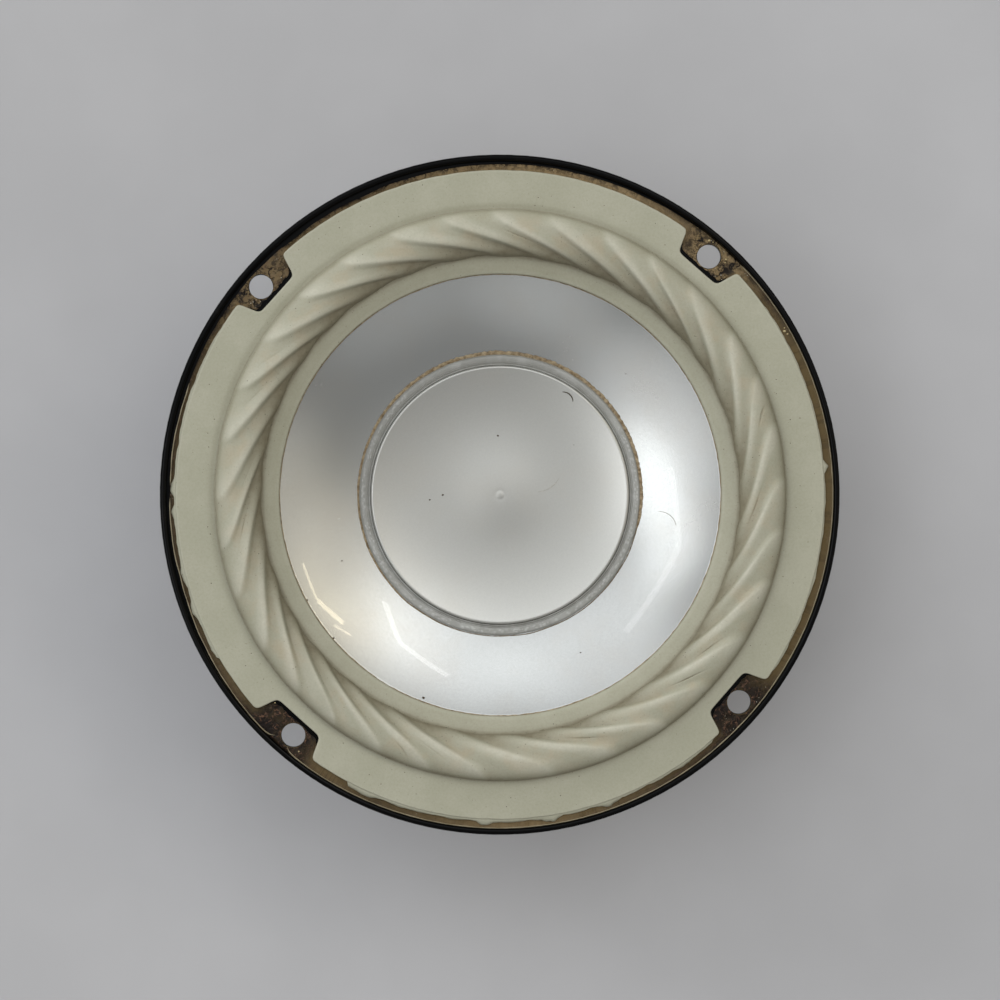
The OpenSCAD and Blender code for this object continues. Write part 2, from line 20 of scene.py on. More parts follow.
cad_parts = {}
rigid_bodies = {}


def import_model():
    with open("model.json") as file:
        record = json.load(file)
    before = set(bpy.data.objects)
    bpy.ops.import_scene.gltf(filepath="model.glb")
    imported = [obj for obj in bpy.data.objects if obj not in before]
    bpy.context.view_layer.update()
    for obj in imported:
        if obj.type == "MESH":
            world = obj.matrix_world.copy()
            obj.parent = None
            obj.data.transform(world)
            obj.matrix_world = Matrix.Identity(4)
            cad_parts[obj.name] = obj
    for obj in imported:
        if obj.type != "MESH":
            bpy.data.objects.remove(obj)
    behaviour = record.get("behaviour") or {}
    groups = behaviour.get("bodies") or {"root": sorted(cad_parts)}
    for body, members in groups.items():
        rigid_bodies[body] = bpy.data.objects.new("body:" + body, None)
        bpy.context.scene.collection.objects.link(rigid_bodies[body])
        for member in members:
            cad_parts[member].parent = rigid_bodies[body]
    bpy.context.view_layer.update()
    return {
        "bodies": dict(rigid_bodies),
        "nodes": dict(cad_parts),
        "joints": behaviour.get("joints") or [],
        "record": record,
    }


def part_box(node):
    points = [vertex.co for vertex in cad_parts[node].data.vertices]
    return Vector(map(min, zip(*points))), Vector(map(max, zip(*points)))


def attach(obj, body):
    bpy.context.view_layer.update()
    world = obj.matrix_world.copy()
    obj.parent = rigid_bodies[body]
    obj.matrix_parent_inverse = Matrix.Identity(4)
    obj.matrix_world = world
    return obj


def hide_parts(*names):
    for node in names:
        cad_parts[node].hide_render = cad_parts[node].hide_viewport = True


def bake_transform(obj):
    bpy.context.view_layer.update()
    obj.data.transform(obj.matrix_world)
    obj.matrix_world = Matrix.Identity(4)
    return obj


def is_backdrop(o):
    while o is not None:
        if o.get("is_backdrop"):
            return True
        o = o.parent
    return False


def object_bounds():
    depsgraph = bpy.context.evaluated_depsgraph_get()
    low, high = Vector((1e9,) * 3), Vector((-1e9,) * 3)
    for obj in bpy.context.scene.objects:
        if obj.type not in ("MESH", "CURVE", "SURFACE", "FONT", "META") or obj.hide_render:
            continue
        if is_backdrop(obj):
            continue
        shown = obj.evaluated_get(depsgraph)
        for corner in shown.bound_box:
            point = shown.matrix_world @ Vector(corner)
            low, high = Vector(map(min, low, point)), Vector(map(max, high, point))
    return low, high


LOG = logging.getLogger("driver")
MM = 0.001
FIXED = "chassis"
MOVING = "diaphragm"
SHARP_DEG = 50
FLOOR_GAP = 0.0001
# The order of a face's points that turns the face round.
TURNED_ROUND = [0, 3, 2, 1]
# The places of a colour Mix node's sockets.
MIX_FACTOR, MIX_FIRST, MIX_SECOND, MIX_RESULT = 0, 6, 7, 2

Colour = tuple[float, float, float]
Floats = tuple[float, ...]
Array = np.ndarray
Numbers = Array | float
Piece = bpy.types.Object
Solid = tuple[Array, Sequence[Sequence[int]]]


def srgb(*screen: int) -> Colour:
    """Turns a colour written as screen values into scene-linear values.

    Args:
        screen: Its red, green and blue, each 0 to 255.

    Returns:
        The linear colour.
    """
    shares = [value / 255 for value in screen]
    return tuple(s / 12.92 if s <= 0.04045 else ((s + 0.055) / 1.055) ** 2.4 for s in shares)


# ---- shader maths


class Socket:
    """An output of a shader tree that can be used in plain Python sums."""

    def __init__(self, shader: "Shader", link: bpy.types.NodeSocket) -> None:
        """Wraps one output socket of a shader."""
        self.shader = shader
        self.link = link

    def _math(self, operation: str, *values: "Value") -> "Socket":
        """Adds a Math node over the given values and returns its output."""
        inputs = dict(enumerate(values))
        return self.shader.add("ShaderNodeMath", {"operation": operation}, inputs)

    def __add__(self, other: "Value") -> "Socket":
        """Returns self + other."""
        return self._math("ADD", self, other)

    __radd__ = __add__

    def __sub__(self, other: "Value") -> "Socket":
        """Returns self - other."""
        return self._math("SUBTRACT", self, other)

    def __rsub__(self, other: "Value") -> "Socket":
        """Returns other - self."""
        return self._math("SUBTRACT", other, self)

    def __mul__(self, other: "Value") -> "Socket":
        """Returns self * other."""
        return self._math("MULTIPLY", self, other)

    __rmul__ = __mul__

    def __pow__(self, other: "Value") -> "Socket":
        """Returns self to the power of other."""
        return self._math("POWER", self, other)

    def __abs__(self) -> "Socket":
        """Returns the size of self without its sign."""
        return self._math("ABSOLUTE", self)

    def sin(self) -> "Socket":
        """Returns the sine of self, in radians."""
        return self._math("SINE", self)

    def arctan2(self, other: "Value") -> "Socket":
        """Returns the angle, in radians, whose tangent is self / other."""
        return self._math("ARCTAN2", self, other)

    def larger(self, other: "Value") -> "Socket":
        """Returns the larger of self and other."""
        return self._math("MAXIMUM", self, other)

    def band(self, low: float, high: float) -> "Socket":
        """Returns 0 below low and 1 above high, with a smooth step between.

        Args:
            low: Where the step starts.
            high: Where the step ends. It may be below low, which turns the step round.

        Returns:
            The mask, from 0 to 1.
        """
        inputs = {"Value": self, "From Min": low, "From Max": high}
        settings = {"interpolation_type": "SMOOTHSTEP"}
        return self.shader.add("ShaderNodeMapRange", settings, inputs)


Value = Socket | float | Sequence[float]
Settings = Mapping[str, object] | None
Inputs = Mapping[str | int, Value] | None


class Shader:
    """A node tree, with one method that adds any node."""

    def __init__(self, tree: bpy.types.NodeTree) -> None:
        """Starts an empty tree.

        Args:
            tree: The tree of a material or of the world.
        """
        tree.nodes.clear()
        self.tree = tree
        self.surface: bpy.types.Node | None = None

    def node(self, kind: str, settings: Settings = None, inputs: Inputs = None) -> bpy.types.Node:
        """Adds a node, sets it and feeds its sockets.

        Args:
            kind: The node's type, such as ShaderNodeTexNoise.
            settings: The node's own properties, which are set before its sockets.
            inputs: Values or links, by the socket's name or number.

        Returns:
            The node.
        """
        node = self.tree.nodes.new(kind)
        for key, value in (settings or {}).items():
            setattr(node, key, value)
        for key, value in (inputs or {}).items():
            self.feed(node.inputs[key], value)
        return node

    def add(
        self, kind: str, settings: Settings = None, inputs: Inputs = None, output: str | int = 0
    ) -> Socket:
        """Adds a node as node() does, and returns one of its outputs, by name or number."""
        return Socket(self, self.node(kind, settings, inputs).outputs[output])

    def feed(self, socket: bpy.types.NodeSocket, value: Value) -> None:
        """Links a socket to an output, or writes a number or a colour on it.

        Args:
            socket: The input that is fed.
            value: What it gets.
        """
        if isinstance(value, Socket):
            self.tree.links.new(value.link, socket)
        elif isinstance(value, (int, float)):
            socket.default_value = value
        elif socket.type == "RGBA" and len(value) == 3:
            socket.default_value = (*value, 1.0)
        else:
            socket.default_value = tuple(value)

    def start_surface(self) -> None:
        """Gives a material's tree its Principled surface."""
        self.surface = self.node("ShaderNodeBsdfPrincipled")
        shown = Socket(self, self.surface.outputs[0])
        self.node("ShaderNodeOutputMaterial", inputs={"Surface": shown})

    def set_surface(self, **values: Value) -> None:
        """Feeds the Principled surface; Base_Color stands for Base Color, and so on."""
        for name, value in values.items():
            self.feed(self.surface.inputs[name.replace("_", " ")], value)

    def place(self) -> Socket:
        """Returns the point on the object, in millimetres in the row frame."""
        inputs = {0: self.add("ShaderNodeTexCoord", output="Object"), "Scale": 1 / MM}
        return self.add("ShaderNodeVectorMath", {"operation": "SCALE"}, inputs)

    def axes(self) -> tuple[Socket, ...]:
        """Returns the x, y and z of the point on the object, in millimetres."""
        split = self.node("ShaderNodeSeparateXYZ", inputs={0: self.place()})
        return tuple(Socket(self, output) for output in split.outputs)

    def polar(self) -> tuple[Socket, Socket, Socket]:
        """Returns the radius in millimetres, the angle in radians and the height."""
        x, y, z = self.axes()
        return (x * x + y * y) ** 0.5, x.arctan2(y), z

    def point(self, x: Value, y: Value, z: Value) -> Socket:
        """Returns a vector made of three values."""
        return self.add("ShaderNodeCombineXYZ", inputs={0: x, 1: y, 2: z})

    def noise(
        self, per_mm: float, detail: float = 3.0, rough: float = 0.55, at: Socket | None = None
    ) -> Socket:
        """Returns cloudy noise.

        Args:
            per_mm: How many of its largest features a millimetre holds.
            detail: How many finer layers it has.
            rough: How strong the finer layers are.
            at: Where it is read; the point on the object if it isn't given.

        Returns:
            The noise, about 0.2 to 0.8.
        """
        inputs = {"Vector": at or self.place(), "Scale": per_mm, "Detail": detail, "Roughness": rough}
        return self.add("ShaderNodeTexNoise", inputs=inputs)

    def cells(self, per_mm: float, feature: "CellFeature", at: Socket | None = None) -> Socket:
        """Returns the distance, in cells, to a feature of the cells, read as noise() is."""
        inputs = {"Vector": at or self.place(), "Scale": per_mm}
        return self.add("ShaderNodeTexVoronoi", {"feature": feature.value}, inputs, "Distance")

    def blend(self, first: Value, second: Value, share: Value) -> Socket:
        """Returns first where share is 0, second where it is 1, and their mix between."""
        inputs = {MIX_FACTOR: share, MIX_FIRST: first, MIX_SECOND: second}
        return self.add("ShaderNodeMix", {"data_type": "RGBA"}, inputs, MIX_RESULT)

    def relief(self, height: Socket, depth_mm: float, strength: float = 1.0) -> Socket:
        """Returns a normal that is tipped by a height, of which 1 stands for depth_mm."""
        inputs = {"Height": height, "Distance": depth_mm * MM, "Strength": strength}
        return self.add("ShaderNodeBump", inputs=inputs)

    def mesh_value(self, name: str) -> Socket:
        """Returns a value that was stored on the mesh's points."""
        return self.add("ShaderNodeAttribute", {"attribute_name": name}, output="Fac")


class CellFeature(Enum):
    """What a pattern of cells measures."""

    CENTRE = "F1"
    BORDER = "DISTANCE_TO_EDGE"


# ---- finishes


@dataclass(frozen=True)
class Finish:
    """A surface of the driver. Each kind says how its own shader is built."""

    name: str

    _made: ClassVar[dict[str, bpy.types.Material]] = {}

    def dress(self, shader: Shader) -> None:
        """Builds the finish in a shader."""
        raise NotImplementedError

    def material(self) -> bpy.types.Material:
        """Makes the finish's material the first time it is asked for.

        Returns:
            The material.
        """
        if self.name not in Finish._made:
            material = bpy.data.materials.new(self.name)
            material.use_nodes = True
            shader = Shader(material.node_tree)
            shader.start_surface()
            self.dress(shader)
            Finish._made[self.name] = material
        return Finish._made[self.name]


@dataclass(frozen=True)
class Enamel(Finish):
    """Stoved black enamel over pressed steel, with a little dust on it."""

    colour: Colour = srgb(3, 3, 3)
    dust: Colour = srgb(58, 52, 44)

    def dress(self, shader: Shader) -> None:
        """Builds orange peel, dust that lies in patches and uneven gloss.

        Args:
            shader: The material's shader.
        """
        patches = shader.noise(0.09, 5, 0.7).band(0.56, 0.74)
        grains = shader.noise(3.2, 2).band(0.6, 0.75)
        dusty = (patches * 0.1 + patches * grains * 0.4).larger(grains * 0.05)
        shader.set_surface(
            Base_Color=shader.blend(self.colour, self.dust, dusty),
            Roughness=0.1 + shader.noise(0.35) * 0.1 + dusty * 0.4,
            Normal=shader.relief(shader.noise(1.3, 1), 0.02, 0.4),
            Specular_IOR_Level=0.1,
        )


@dataclass(frozen=True)
class Rubber(Finish):
    """Grey-green moulded rubber: paler on its high places from bleaching and a painted sheen, and darker in
    its creases from dirt and painted shade.
    """

    body: Colour = srgb(168, 167, 147)
    # Pale colour for bleaching and for a painted sheen on the crests.
    bleach_and_sheen: Colour = srgb(196, 194, 177)
    warm: Colour = srgb(178, 165, 139)
    # Dark colour for dirt and for painted shade.
    grime_and_shade: Colour = srgb(100, 87, 60)
    speck: Colour = srgb(66, 56, 40)

    def dress(self, shader: Shader) -> None:
        """Builds mottling, pale ridges with a painted sheen, creases darkened by dirt and painted shade,
        specks and a fine grain.

        Args:
            shader: The material's shader.
        """
        # The first mask below is dirt and painted shade; the second is mostly a painted sheen on the
        # crests, with some bleaching.
        shade_and_soil = shader.mesh_value("shade_and_soil")
        ridge = shader.mesh_value("ridge")
        cloud = shader.noise(0.11, 4, 0.6).band(0.35, 0.68)
        smear = shader.noise(0.55, 3, 0.6)
        pale = (ridge * 0.7 + cloud * 0.2) * (0.5 + smear * 0.9)
        tanned = shader.noise(0.16, 3, 0.6).band(0.42, 0.66) * shader.mesh_value("roll") * 0.6
        base = shader.blend(shader.blend(self.body, self.warm, tanned), self.bleach_and_sheen, pale)
        base = shader.blend(base, self.grime_and_shade, shader.noise(1.9, 3, 0.7).band(0.35, 0.75) * 0.12)
        # dirty darkens with painted shade as well as dirt.
        dirty = shade_and_soil * (0.45 + smear * 0.65)
        base = shader.blend(base, self.grime_and_shade, dirty * 0.8)
        dots = shader.cells(0.42, CellFeature.CENTRE).band(0.075, 0.03)
        kept = shader.noise(0.23, 1).band(0.56, 0.6)
        motes = shader.cells(1.1, CellFeature.CENTRE).band(0.14, 0.07)
        motes = motes * shader.noise(0.3, 1).band(0.54, 0.66) * 0.6 + motes * shade_and_soil.band(0.1, 0.5) * 0.7
        base = shader.blend(base, self.speck, (dots * kept).larger(motes) * 0.85)
        grain = shader.noise(2.4, 4, 0.65) + shader.noise(0.5) * 0.6
        shader.set_surface(
            Base_Color=base,
            Roughness=0.42 + smear * 0.14 + dirty * 0.12,
            Normal=shader.relief(grain, 0.045, 0.5),
            Specular_IOR_Level=0.45,
        )


@dataclass(frozen=True)
class SilverLacquer(Finish):
    """Silver lacquer with fine metal flake, on a moulded part."""

    colour: Colour = srgb(181, 183, 181)
    stain: Colour = srgb(178, 170, 158)
    metallic: float = 0.8
    gloss: float = 0.22
    flake: float = 0.22
    stain_share: float = 0.16
    coat: float = 0.8
    coat_gloss: float = 0.03

    def dress(self, shader: Shader) -> None:
        """Builds flake, faint yellowing and a soft orange peel under a clear coat.

        Args:
            shader: The material's shader.
        """
        flakes = shader.noise(2.1, 3, 0.75)
        haze = shader.noise(0.06, 4, 0.6).band(0.42, 0.72)
        darker = tuple(channel * 0.72 for channel in self.colour)
        base = shader.blend(self.colour, darker, (flakes - 0.5) * 4 * self.flake + 0.12)
        base = shader.blend(base, self.stain, haze * self.stain_share)
        shader.set_surface(
            Base_Color=base,
            Metallic=self.metallic,
            Roughness=self.gloss + flakes * 0.06 + haze * 0.02,
            Normal=shader.relief(shader.noise(1.2, 1), 0.006, 0.4),
            Coat_Weight=self.coat,
            Coat_Roughness=self.coat_gloss,
        )


@dataclass(frozen=True)
class ClearGlue(Finish):
    """Clear glue that has dulled, with bubbles shut in it, and painted shade in its grooves, at its feet
    and over its top left.
    """

    colour: Colour = srgb(186, 186, 180)
    cloudy: Colour = srgb(222, 224, 222)
    # Painted shade colour for the grooves, the feet and the top left.
    dark: Colour = srgb(58, 56, 48)

    def dress(self, shader: Shader) -> None:
        """Builds pale bubbles in a see-through body with a wet surface, darkened by painted shade.

        Args:
            shader: The material's shader.
        """
        bubbles = shader.mesh_value("bubble")
        shade_lines = shader.mesh_value("bead_shade")
        milky = shader.noise(0.18, 3).band(0.45, 0.65)
        base = shader.blend(self.colour, self.cloudy, bubbles * 0.3 + milky * 0.2)
        shader.set_surface(
            # Painted shade: the dark colour is laid in the bead's grooves and at its feet, and over its top
            # left.
            Base_Color=shader.blend(base, self.dark, shade_lines * 0.85),
            Alpha=0.5 + bubbles * 0.1 + milky * 0.1 + shade_lines * 0.4,
            Roughness=0.12 + milky * 0.14,
            Normal=shader.relief(shader.noise(0.9), 0.05, 0.5),
            Specular_IOR_Level=0.6,
        )


@dataclass(frozen=True)
class AgedGlue(Finish):
    """Contact glue that has dried brown and cracked."""

    light: Colour = srgb(126, 108, 78)
    dark: Colour = srgb(64, 50, 34)
    vein: Colour = srgb(24, 17, 12)
    crack_per_mm: float = 0.36
    crack_share: float = 0.9
    blotch_per_mm: float = 0.2

    def dress(self, shader: Shader) -> None:
        """Builds blotches, dark veins along cracks and a wrinkled skin.

        Args:
            shader: The material's shader.
        """
        bend = shader.noise(0.5, 2)
        x, y, z = shader.axes()
        bent = shader.point(x + bend * 2.4, y - bend * 2.1, z)
        cracks = shader.cells(self.crack_per_mm, CellFeature.BORDER, bent).band(0.075, 0.01)
        fine = shader.cells(self.crack_per_mm * 3.1, CellFeature.BORDER, bent).band(0.08, 0.01)
        shown = shader.noise(0.12, 2).band(0.42, 0.6)
        veins = cracks.larger(fine * shown * 0.7) * self.crack_share
        blotch = shader.noise(self.blotch_per_mm, 5.0, 0.66).band(0.34, 0.66)
        base = shader.blend(self.light, self.dark, blotch)
        shader.set_surface(
            Base_Color=shader.blend(base, self.vein, veins.larger(shader.mesh_value("dirt"))),
            Roughness=0.34 + blotch * 0.25 - veins * 0.1,
            Normal=shader.relief(shader.noise(0.9, 4, 0.6) - veins * 0.6, 0.16, 0.8),
            Specular_IOR_Level=0.5,
        )


@dataclass(frozen=True)
class RimFilm(Finish):
    """Contact glue on the rim: olive where it is thin, tan where thick, dark where dirty."""

    olive: Colour = srgb(96, 80, 50)
    tan: Colour = srgb(158, 136, 100)
    dirt: Colour = srgb(27, 19, 15)
    vein: Colour = srgb(16, 10, 7)
    # Painted highlight colour for the crests of the wrinkles.
    crest_highlight: Colour = srgb(112, 84, 66)
    glint: Colour = srgb(214, 206, 186)

    def dress(self, shader: Shader) -> None:
        """Builds smears, dark branching veins, stripes across the film and a wet gloss.

        Args:
            shader: The material's shader.
        """
        bend = shader.noise(0.45, 3)
        sway = shader.noise(0.62, 3)
        x, y, z = shader.axes()
        bent = shader.point(x + bend * 6.0, y - sway * 5.0, z)
        cracks = shader.cells(0.3, CellFeature.BORDER, bent).band(0.13, 0.04)
        fine = shader.cells(0.85, CellFeature.BORDER, bent).band(0.17, 0.05)
        shown = shader.noise(0.4, 2).band(0.4, 0.56)
        hidden = shader.noise(0.33, 1).band(0.6, 0.44)
        blots = shader.noise(0.42, 4, 0.7).band(0.53, 0.62)
        veins = (cracks * hidden).larger(fine * shown * 0.8).larger(blots * 0.75)
        veins = veins * shader.mesh_value("veins")
        _, angle, _ = shader.polar()
        stripes = shader.noise(1.0, 3, 0.6, shader.point(angle * 120.0, 0.0, 0.0)).band(0.42, 0.62)
        stripes = stripes * shader.mesh_value("stripes")
        smear = shader.noise(0.35, 5, 0.66).band(0.34, 0.66)
        base = shader.blend(self.olive, self.tan, shader.mesh_value("tan") * (0.6 + smear * 0.4))
        dirty = shader.mesh_value("dirt") * (0.8 + smear * 0.3)
        streaks = shader.noise(1.0, 2, 0.5, shader.point(angle * 62.0, bend * 1.2, 0.0)).band(0.5, 0.64)
        dirty = dirty.larger(streaks * shader.mesh_value("dirt").larger(0.35) * 0.8)
        base = shader.blend(base, self.dirt, dirty.larger(stripes * 0.85))
        rough = shader.mesh_value("veins").larger(shader.mesh_value("dirt"))
        # Painted highlight: lighter lines along the crests of the wrinkles where the film is dirty; the
        # same lines raise the bump.
        lit_crests = shader.cells(0.62, CellFeature.BORDER, bent).band(0.09, 0.03) * rough
        lit_crests = lit_crests * shader.noise(0.7, 2).band(0.46, 0.58)
        base = shader.blend(base, self.crest_highlight, lit_crests * dirty)
        glints = shader.cells(1.2, CellFeature.CENTRE).band(0.17, 0.09) * rough * 0.8
        glints = glints * shader.noise(0.5, 2).band(0.56, 0.64)
        shader.set_surface(
            Base_Color=shader.blend(shader.blend(base, self.vein, veins), self.glint, glints),
            Roughness=0.26 + smear * 0.14 - veins * 0.1,
            Normal=shader.relief(shader.noise(0.9, 4, 0.6) - veins * 0.6 + lit_crests * 0.4, 0.16, 0.8),
            Specular_IOR_Level=0.16,
        )


@dataclass(frozen=True)
class CuredGlue(Finish):
    """Glue or paint that has set with a smooth skin."""

    colour: Colour = srgb(28, 25, 22)
    gloss: float = 0.32

    def dress(self, shader: Shader) -> None:
        """Builds slow waves, dust and an uneven gloss.

        Args:
            shader: The material's shader.
        """
        dust = shader.noise(1.8, 4, 0.7).band(0.58, 0.78)
        paler = tuple(min(1.0, channel * 2.2 + 0.02) for channel in self.colour)
        shader.set_surface(
            Base_Color=shader.blend(self.colour, paler, dust * 0.5),
            Roughness=self.gloss + shader.noise(0.6) * 0.18 + dust * 0.2,
            Normal=shader.relief(shader.noise(0.7, 2), 0.1, 0.6),
        )


@dataclass(frozen=True)
class FormerFilm(Finish):
    """Amber film that the coil is wound on."""

    colour: Colour = srgb(172, 112, 44)
    seam: Colour = srgb(112, 66, 24)

    def dress(self, shader: Shader) -> None:
        """Builds wrap lines, faint smoke and a sheen.

        Args:
            shader: The material's shader.
        """
        _, _, z = shader.polar()
        wraps = abs((z * 2.6).sin()).band(0.1, 0.0)
        smoke = shader.noise(0.2, 4).band(0.4, 0.75)
        shader.set_surface(
            Base_Color=shader.blend(self.colour, self.seam, wraps * 0.5 + smoke * 0.4),
            Roughness=0.24 + smoke * 0.2,
            Normal=shader.relief(shader.noise(0.8), 0.03, 0.5),
            Coat_Weight=0.4,
        )


@dataclass(frozen=True)
class WoundCopper(Finish):
    """Enamelled copper wire, its turns stuck with varnish."""

    colour: Colour = srgb(186, 98, 54)
    varnish: Colour = srgb(104, 44, 18)

    def dress(self, shader: Shader) -> None:
        """Builds varnish that pools between turns, and a hard gloss.

        Args:
            shader: The material's shader.
        """
        pools = shader.noise(0.5, 4, 0.6).band(0.42, 0.7)
        shader.set_surface(
            Base_Color=shader.blend(self.colour, self.varnish, pools),
            Metallic=0.85 - pools * 0.3,
            Roughness=0.22 + pools * 0.2,
            Normal=shader.relief(shader.noise(2.0), 0.02, 0.5),
            Coat_Weight=0.6,
        )


@dataclass(frozen=True)
class Paper(Finish):
    """Kraft paper wrapped round the former."""

    colour: Colour = srgb(150, 112, 70)
    fibre: Colour = srgb(108, 76, 44)

    def dress(self, shader: Shader) -> None:
        """Builds fibres that run round the tube.

        Args:
            shader: The material's shader.
        """
        _, angle, z = shader.polar()
        along = shader.point(angle * 6.0, z * 4.0, 0.0)
        fibres = shader.noise(1.6, 6, 0.7, along)
        shader.set_surface(
            Base_Color=shader.blend(self.colour, self.fibre, fibres.band(0.35, 0.7)),
            Roughness=0.72 + fibres * 0.14,
            Normal=shader.relief(fibres, 0.06, 0.7),
            Specular_IOR_Level=0.3,
        )


@dataclass(frozen=True)
class DippedCloth(Finish):
    """Woven cotton, dipped in resin and pressed into waves."""

    thread: Colour = srgb(196, 160, 84)
    shade: Colour = srgb(112, 78, 30)
    pitch: float = 0.75

    def dress(self, shader: Shader) -> None:
        """Builds an over-and-under weave with resin in its gaps.

        Args:
            shader: The material's shader.
        """
        x, y, _ = shader.axes()
        step = math.pi / self.pitch
        warp, weft = (x * step).sin(), (y * step).sin()
        over = (warp * weft).band(-0.3, 0.3)
        height = abs(warp) * over + abs(weft) * (1 - over)
        gaps = height.band(0.5, 0.12)
        cloud = shader.noise(0.15, 4, 0.6).band(0.35, 0.7)
        base = shader.blend(self.thread, self.shade, gaps * 0.75 + cloud * 0.25)
        shader.set_surface(
            Base_Color=base,
            Roughness=0.58 + gaps * 0.2 - cloud * 0.12,
            Normal=shader.relief(height + shader.noise(3.0) * 0.3, 0.16, 0.8),
            Specular_IOR_Level=0.35,
        )


class Lay(Enum):
    """How the tool marks on a metal surface run."""

    ROUND = "round"
    STRAIGHT = "straight"


@dataclass(frozen=True)
class PlatedSteel(Finish):
    """Steel or brass with a thin plating, tool marks and tarnish."""

    colour: Colour = srgb(186, 184, 172)
    tarnish: Colour = srgb(150, 138, 104)
    pit: Colour = srgb(60, 52, 40)
    lay: Lay = Lay.ROUND
    gloss: float = 0.34
    mark_depth: float = 0.02
    tarnish_share: float = 0.6

    def dress(self, shader: Shader) -> None:
        """Builds tool marks, cloudy tarnish and small dark pits.

        Args:
            shader: The material's shader.
        """
        if self.lay is Lay.ROUND:
            radius, _, z = shader.polar()
            along = shader.point(radius * 5.0, z * 0.6, 0.0)
        else:
            x, y, z = shader.axes()
            along = shader.point(x * 6.0, y * 0.35, z * 0.4)
        marks = shader.noise(1.0, 3, 0.7, along)
        cloud = shader.noise(0.06, 6, 0.72).band(0.34, 0.86)
        pits = shader.noise(2.4, 2).band(0.7, 0.76)
        base = shader.blend(self.colour, self.tarnish, cloud * self.tarnish_share)
        base = shader.blend(base, self.pit, pits * 0.6)
        shader.set_surface(
            Base_Color=base,
            Metallic=0.9 - pits * 0.5,
            Roughness=self.gloss + cloud * 0.16 + marks * 0.1,
            Normal=shader.relief(marks - pits * 0.5, self.mark_depth, 0.7),
        )


@dataclass(frozen=True)
class Ferrite(Finish):
    """Sintered ferrite, ground on its flats and chipped along its edges."""

    colour: Colour = srgb(52, 52, 55)
    chip: Colour = srgb(88, 86, 88)

    def dress(self, shader: Shader) -> None:
        """Builds a sandy body, grinding lines and lighter chips.

        Args:
            shader: The material's shader.
        """
        x, y, z = shader.axes()
        lines = shader.noise(1.4, 3, 0.7, shader.point(x * 0.15, y * 3.0, z * 0.7))
        sand = shader.noise(1.6, 6, 0.75)
        chips = shader.cells(0.3, CellFeature.CENTRE).band(0.2, 0.1)
        chips = chips * shader.noise(0.4).band(0.56, 0.64)
        shader.set_surface(
            Base_Color=shader.blend(self.colour, self.chip, chips * 0.7 + sand.band(0.55, 0.8) * 0.4),
            Metallic=0.12,
            Roughness=0.52 + sand * 0.22 - lines * 0.1,
            Normal=shader.relief(sand + lines * 0.4 - chips * 0.8, 0.08, 0.8),
        )


@dataclass(frozen=True)
class Laminate(Finish):
    """Brown resin board, pressed from layers of paper."""

    colour: Colour = srgb(92, 58, 32)
    layer: Colour = srgb(54, 32, 18)

    def dress(self, shader: Shader) -> None:
        """Builds layers that show on the edges, and fibres on the faces.

        Args:
            shader: The material's shader.
        """
        x, y, z = shader.axes()
        layers = abs((z * 12.0).sin())
        fibres = shader.noise(1.2, 5, 0.7, shader.point(x * 0.5, y * 2.5, z * 5.0))
        shader.set_surface(
            Base_Color=shader.blend(self.colour, self.layer, layers * 0.4 + fibres.band(0.4, 0.7) * 0.5),
            Roughness=0.4 + fibres * 0.2,
            Normal=shader.relief(fibres + layers * 0.3, 0.04, 0.6),
        )


@dataclass(frozen=True)
class Solder(Finish):
    """A soldered joint, frosted where it set, with a rim of old flux."""

    colour: Colour = srgb(186, 188, 190)
    flux: Colour = srgb(120, 92, 48)

    def dress(self, shader: Shader) -> None:
        """Builds frosting and patches of flux.

        Args:
            shader: The material's shader.
        """
        frost = shader.noise(1.4, 5, 0.7)
        flux = shader.noise(0.6, 3).band(0.55, 0.7)
        shader.set_surface(
            Base_Color=shader.blend(self.colour, self.flux, flux * 0.6),
            Metallic=0.9 - flux * 0.7,
            Roughness=0.24 + frost * 0.3,
            Normal=shader.relief(frost, 0.08, 0.6),
        )


@dataclass(frozen=True)
class TinselBraid(Finish):
    """Braided tinsel wire: copper foil wound on cotton."""

    metal: Colour = srgb(188, 142, 104)
    cotton: Colour = srgb(176, 160, 132)

    def dress(self, shader: Shader) -> None:
        """Builds metal that shows between cotton threads.

        Args:
            shader: The material's shader.
        """
        threads = shader.noise(4.0, 4, 0.7)
        metal = threads.band(0.44, 0.58)
        shader.set_surface(
            Base_Color=shader.blend(self.cotton, self.metal, metal),
            Metallic=metal * 0.8,
            Roughness=0.62 - metal * 0.26,
            Normal=shader.relief(threads, 0.06, 0.7),
        )


@dataclass(frozen=True)
class Grit(Finish):
    """Dust, grit and lint."""

    colour: Colour = srgb(58, 48, 34)

    def dress(self, shader: Shader) -> None:
        """Builds a dull body with paler fibres in it.

        Args:
            shader: The material's shader.
        """
        fibres = shader.noise(5.0, 4, 0.7)
        paler = tuple(channel * 2.5 for channel in self.colour)
        shader.set_surface(
            Base_Color=shader.blend(self.colour, paler, fibres.band(0.4, 0.7)),
            Roughness=0.75 + fibres * 0.15,
            Normal=shader.relief(fibres, 0.05, 0.6),
            Specular_IOR_Level=0.25,
        )


@dataclass(frozen=True)
class PaleFloor(Finish):
    """The plain pale floor of the studio."""

    colour: Colour = srgb(188, 188, 190)

    def dress(self, shader: Shader) -> None:
        """Builds a matt surface with a faint mottle.

        Args:
            shader: The material's shader.
        """
        mottle = shader.noise(0.02, 3).band(0.3, 0.7)
        darker = tuple(channel * 0.95 for channel in self.colour)
        shader.set_surface(
            Base_Color=shader.blend(self.colour, darker, mottle),
            Roughness=0.9,
            Specular_IOR_Level=0.1,
        )


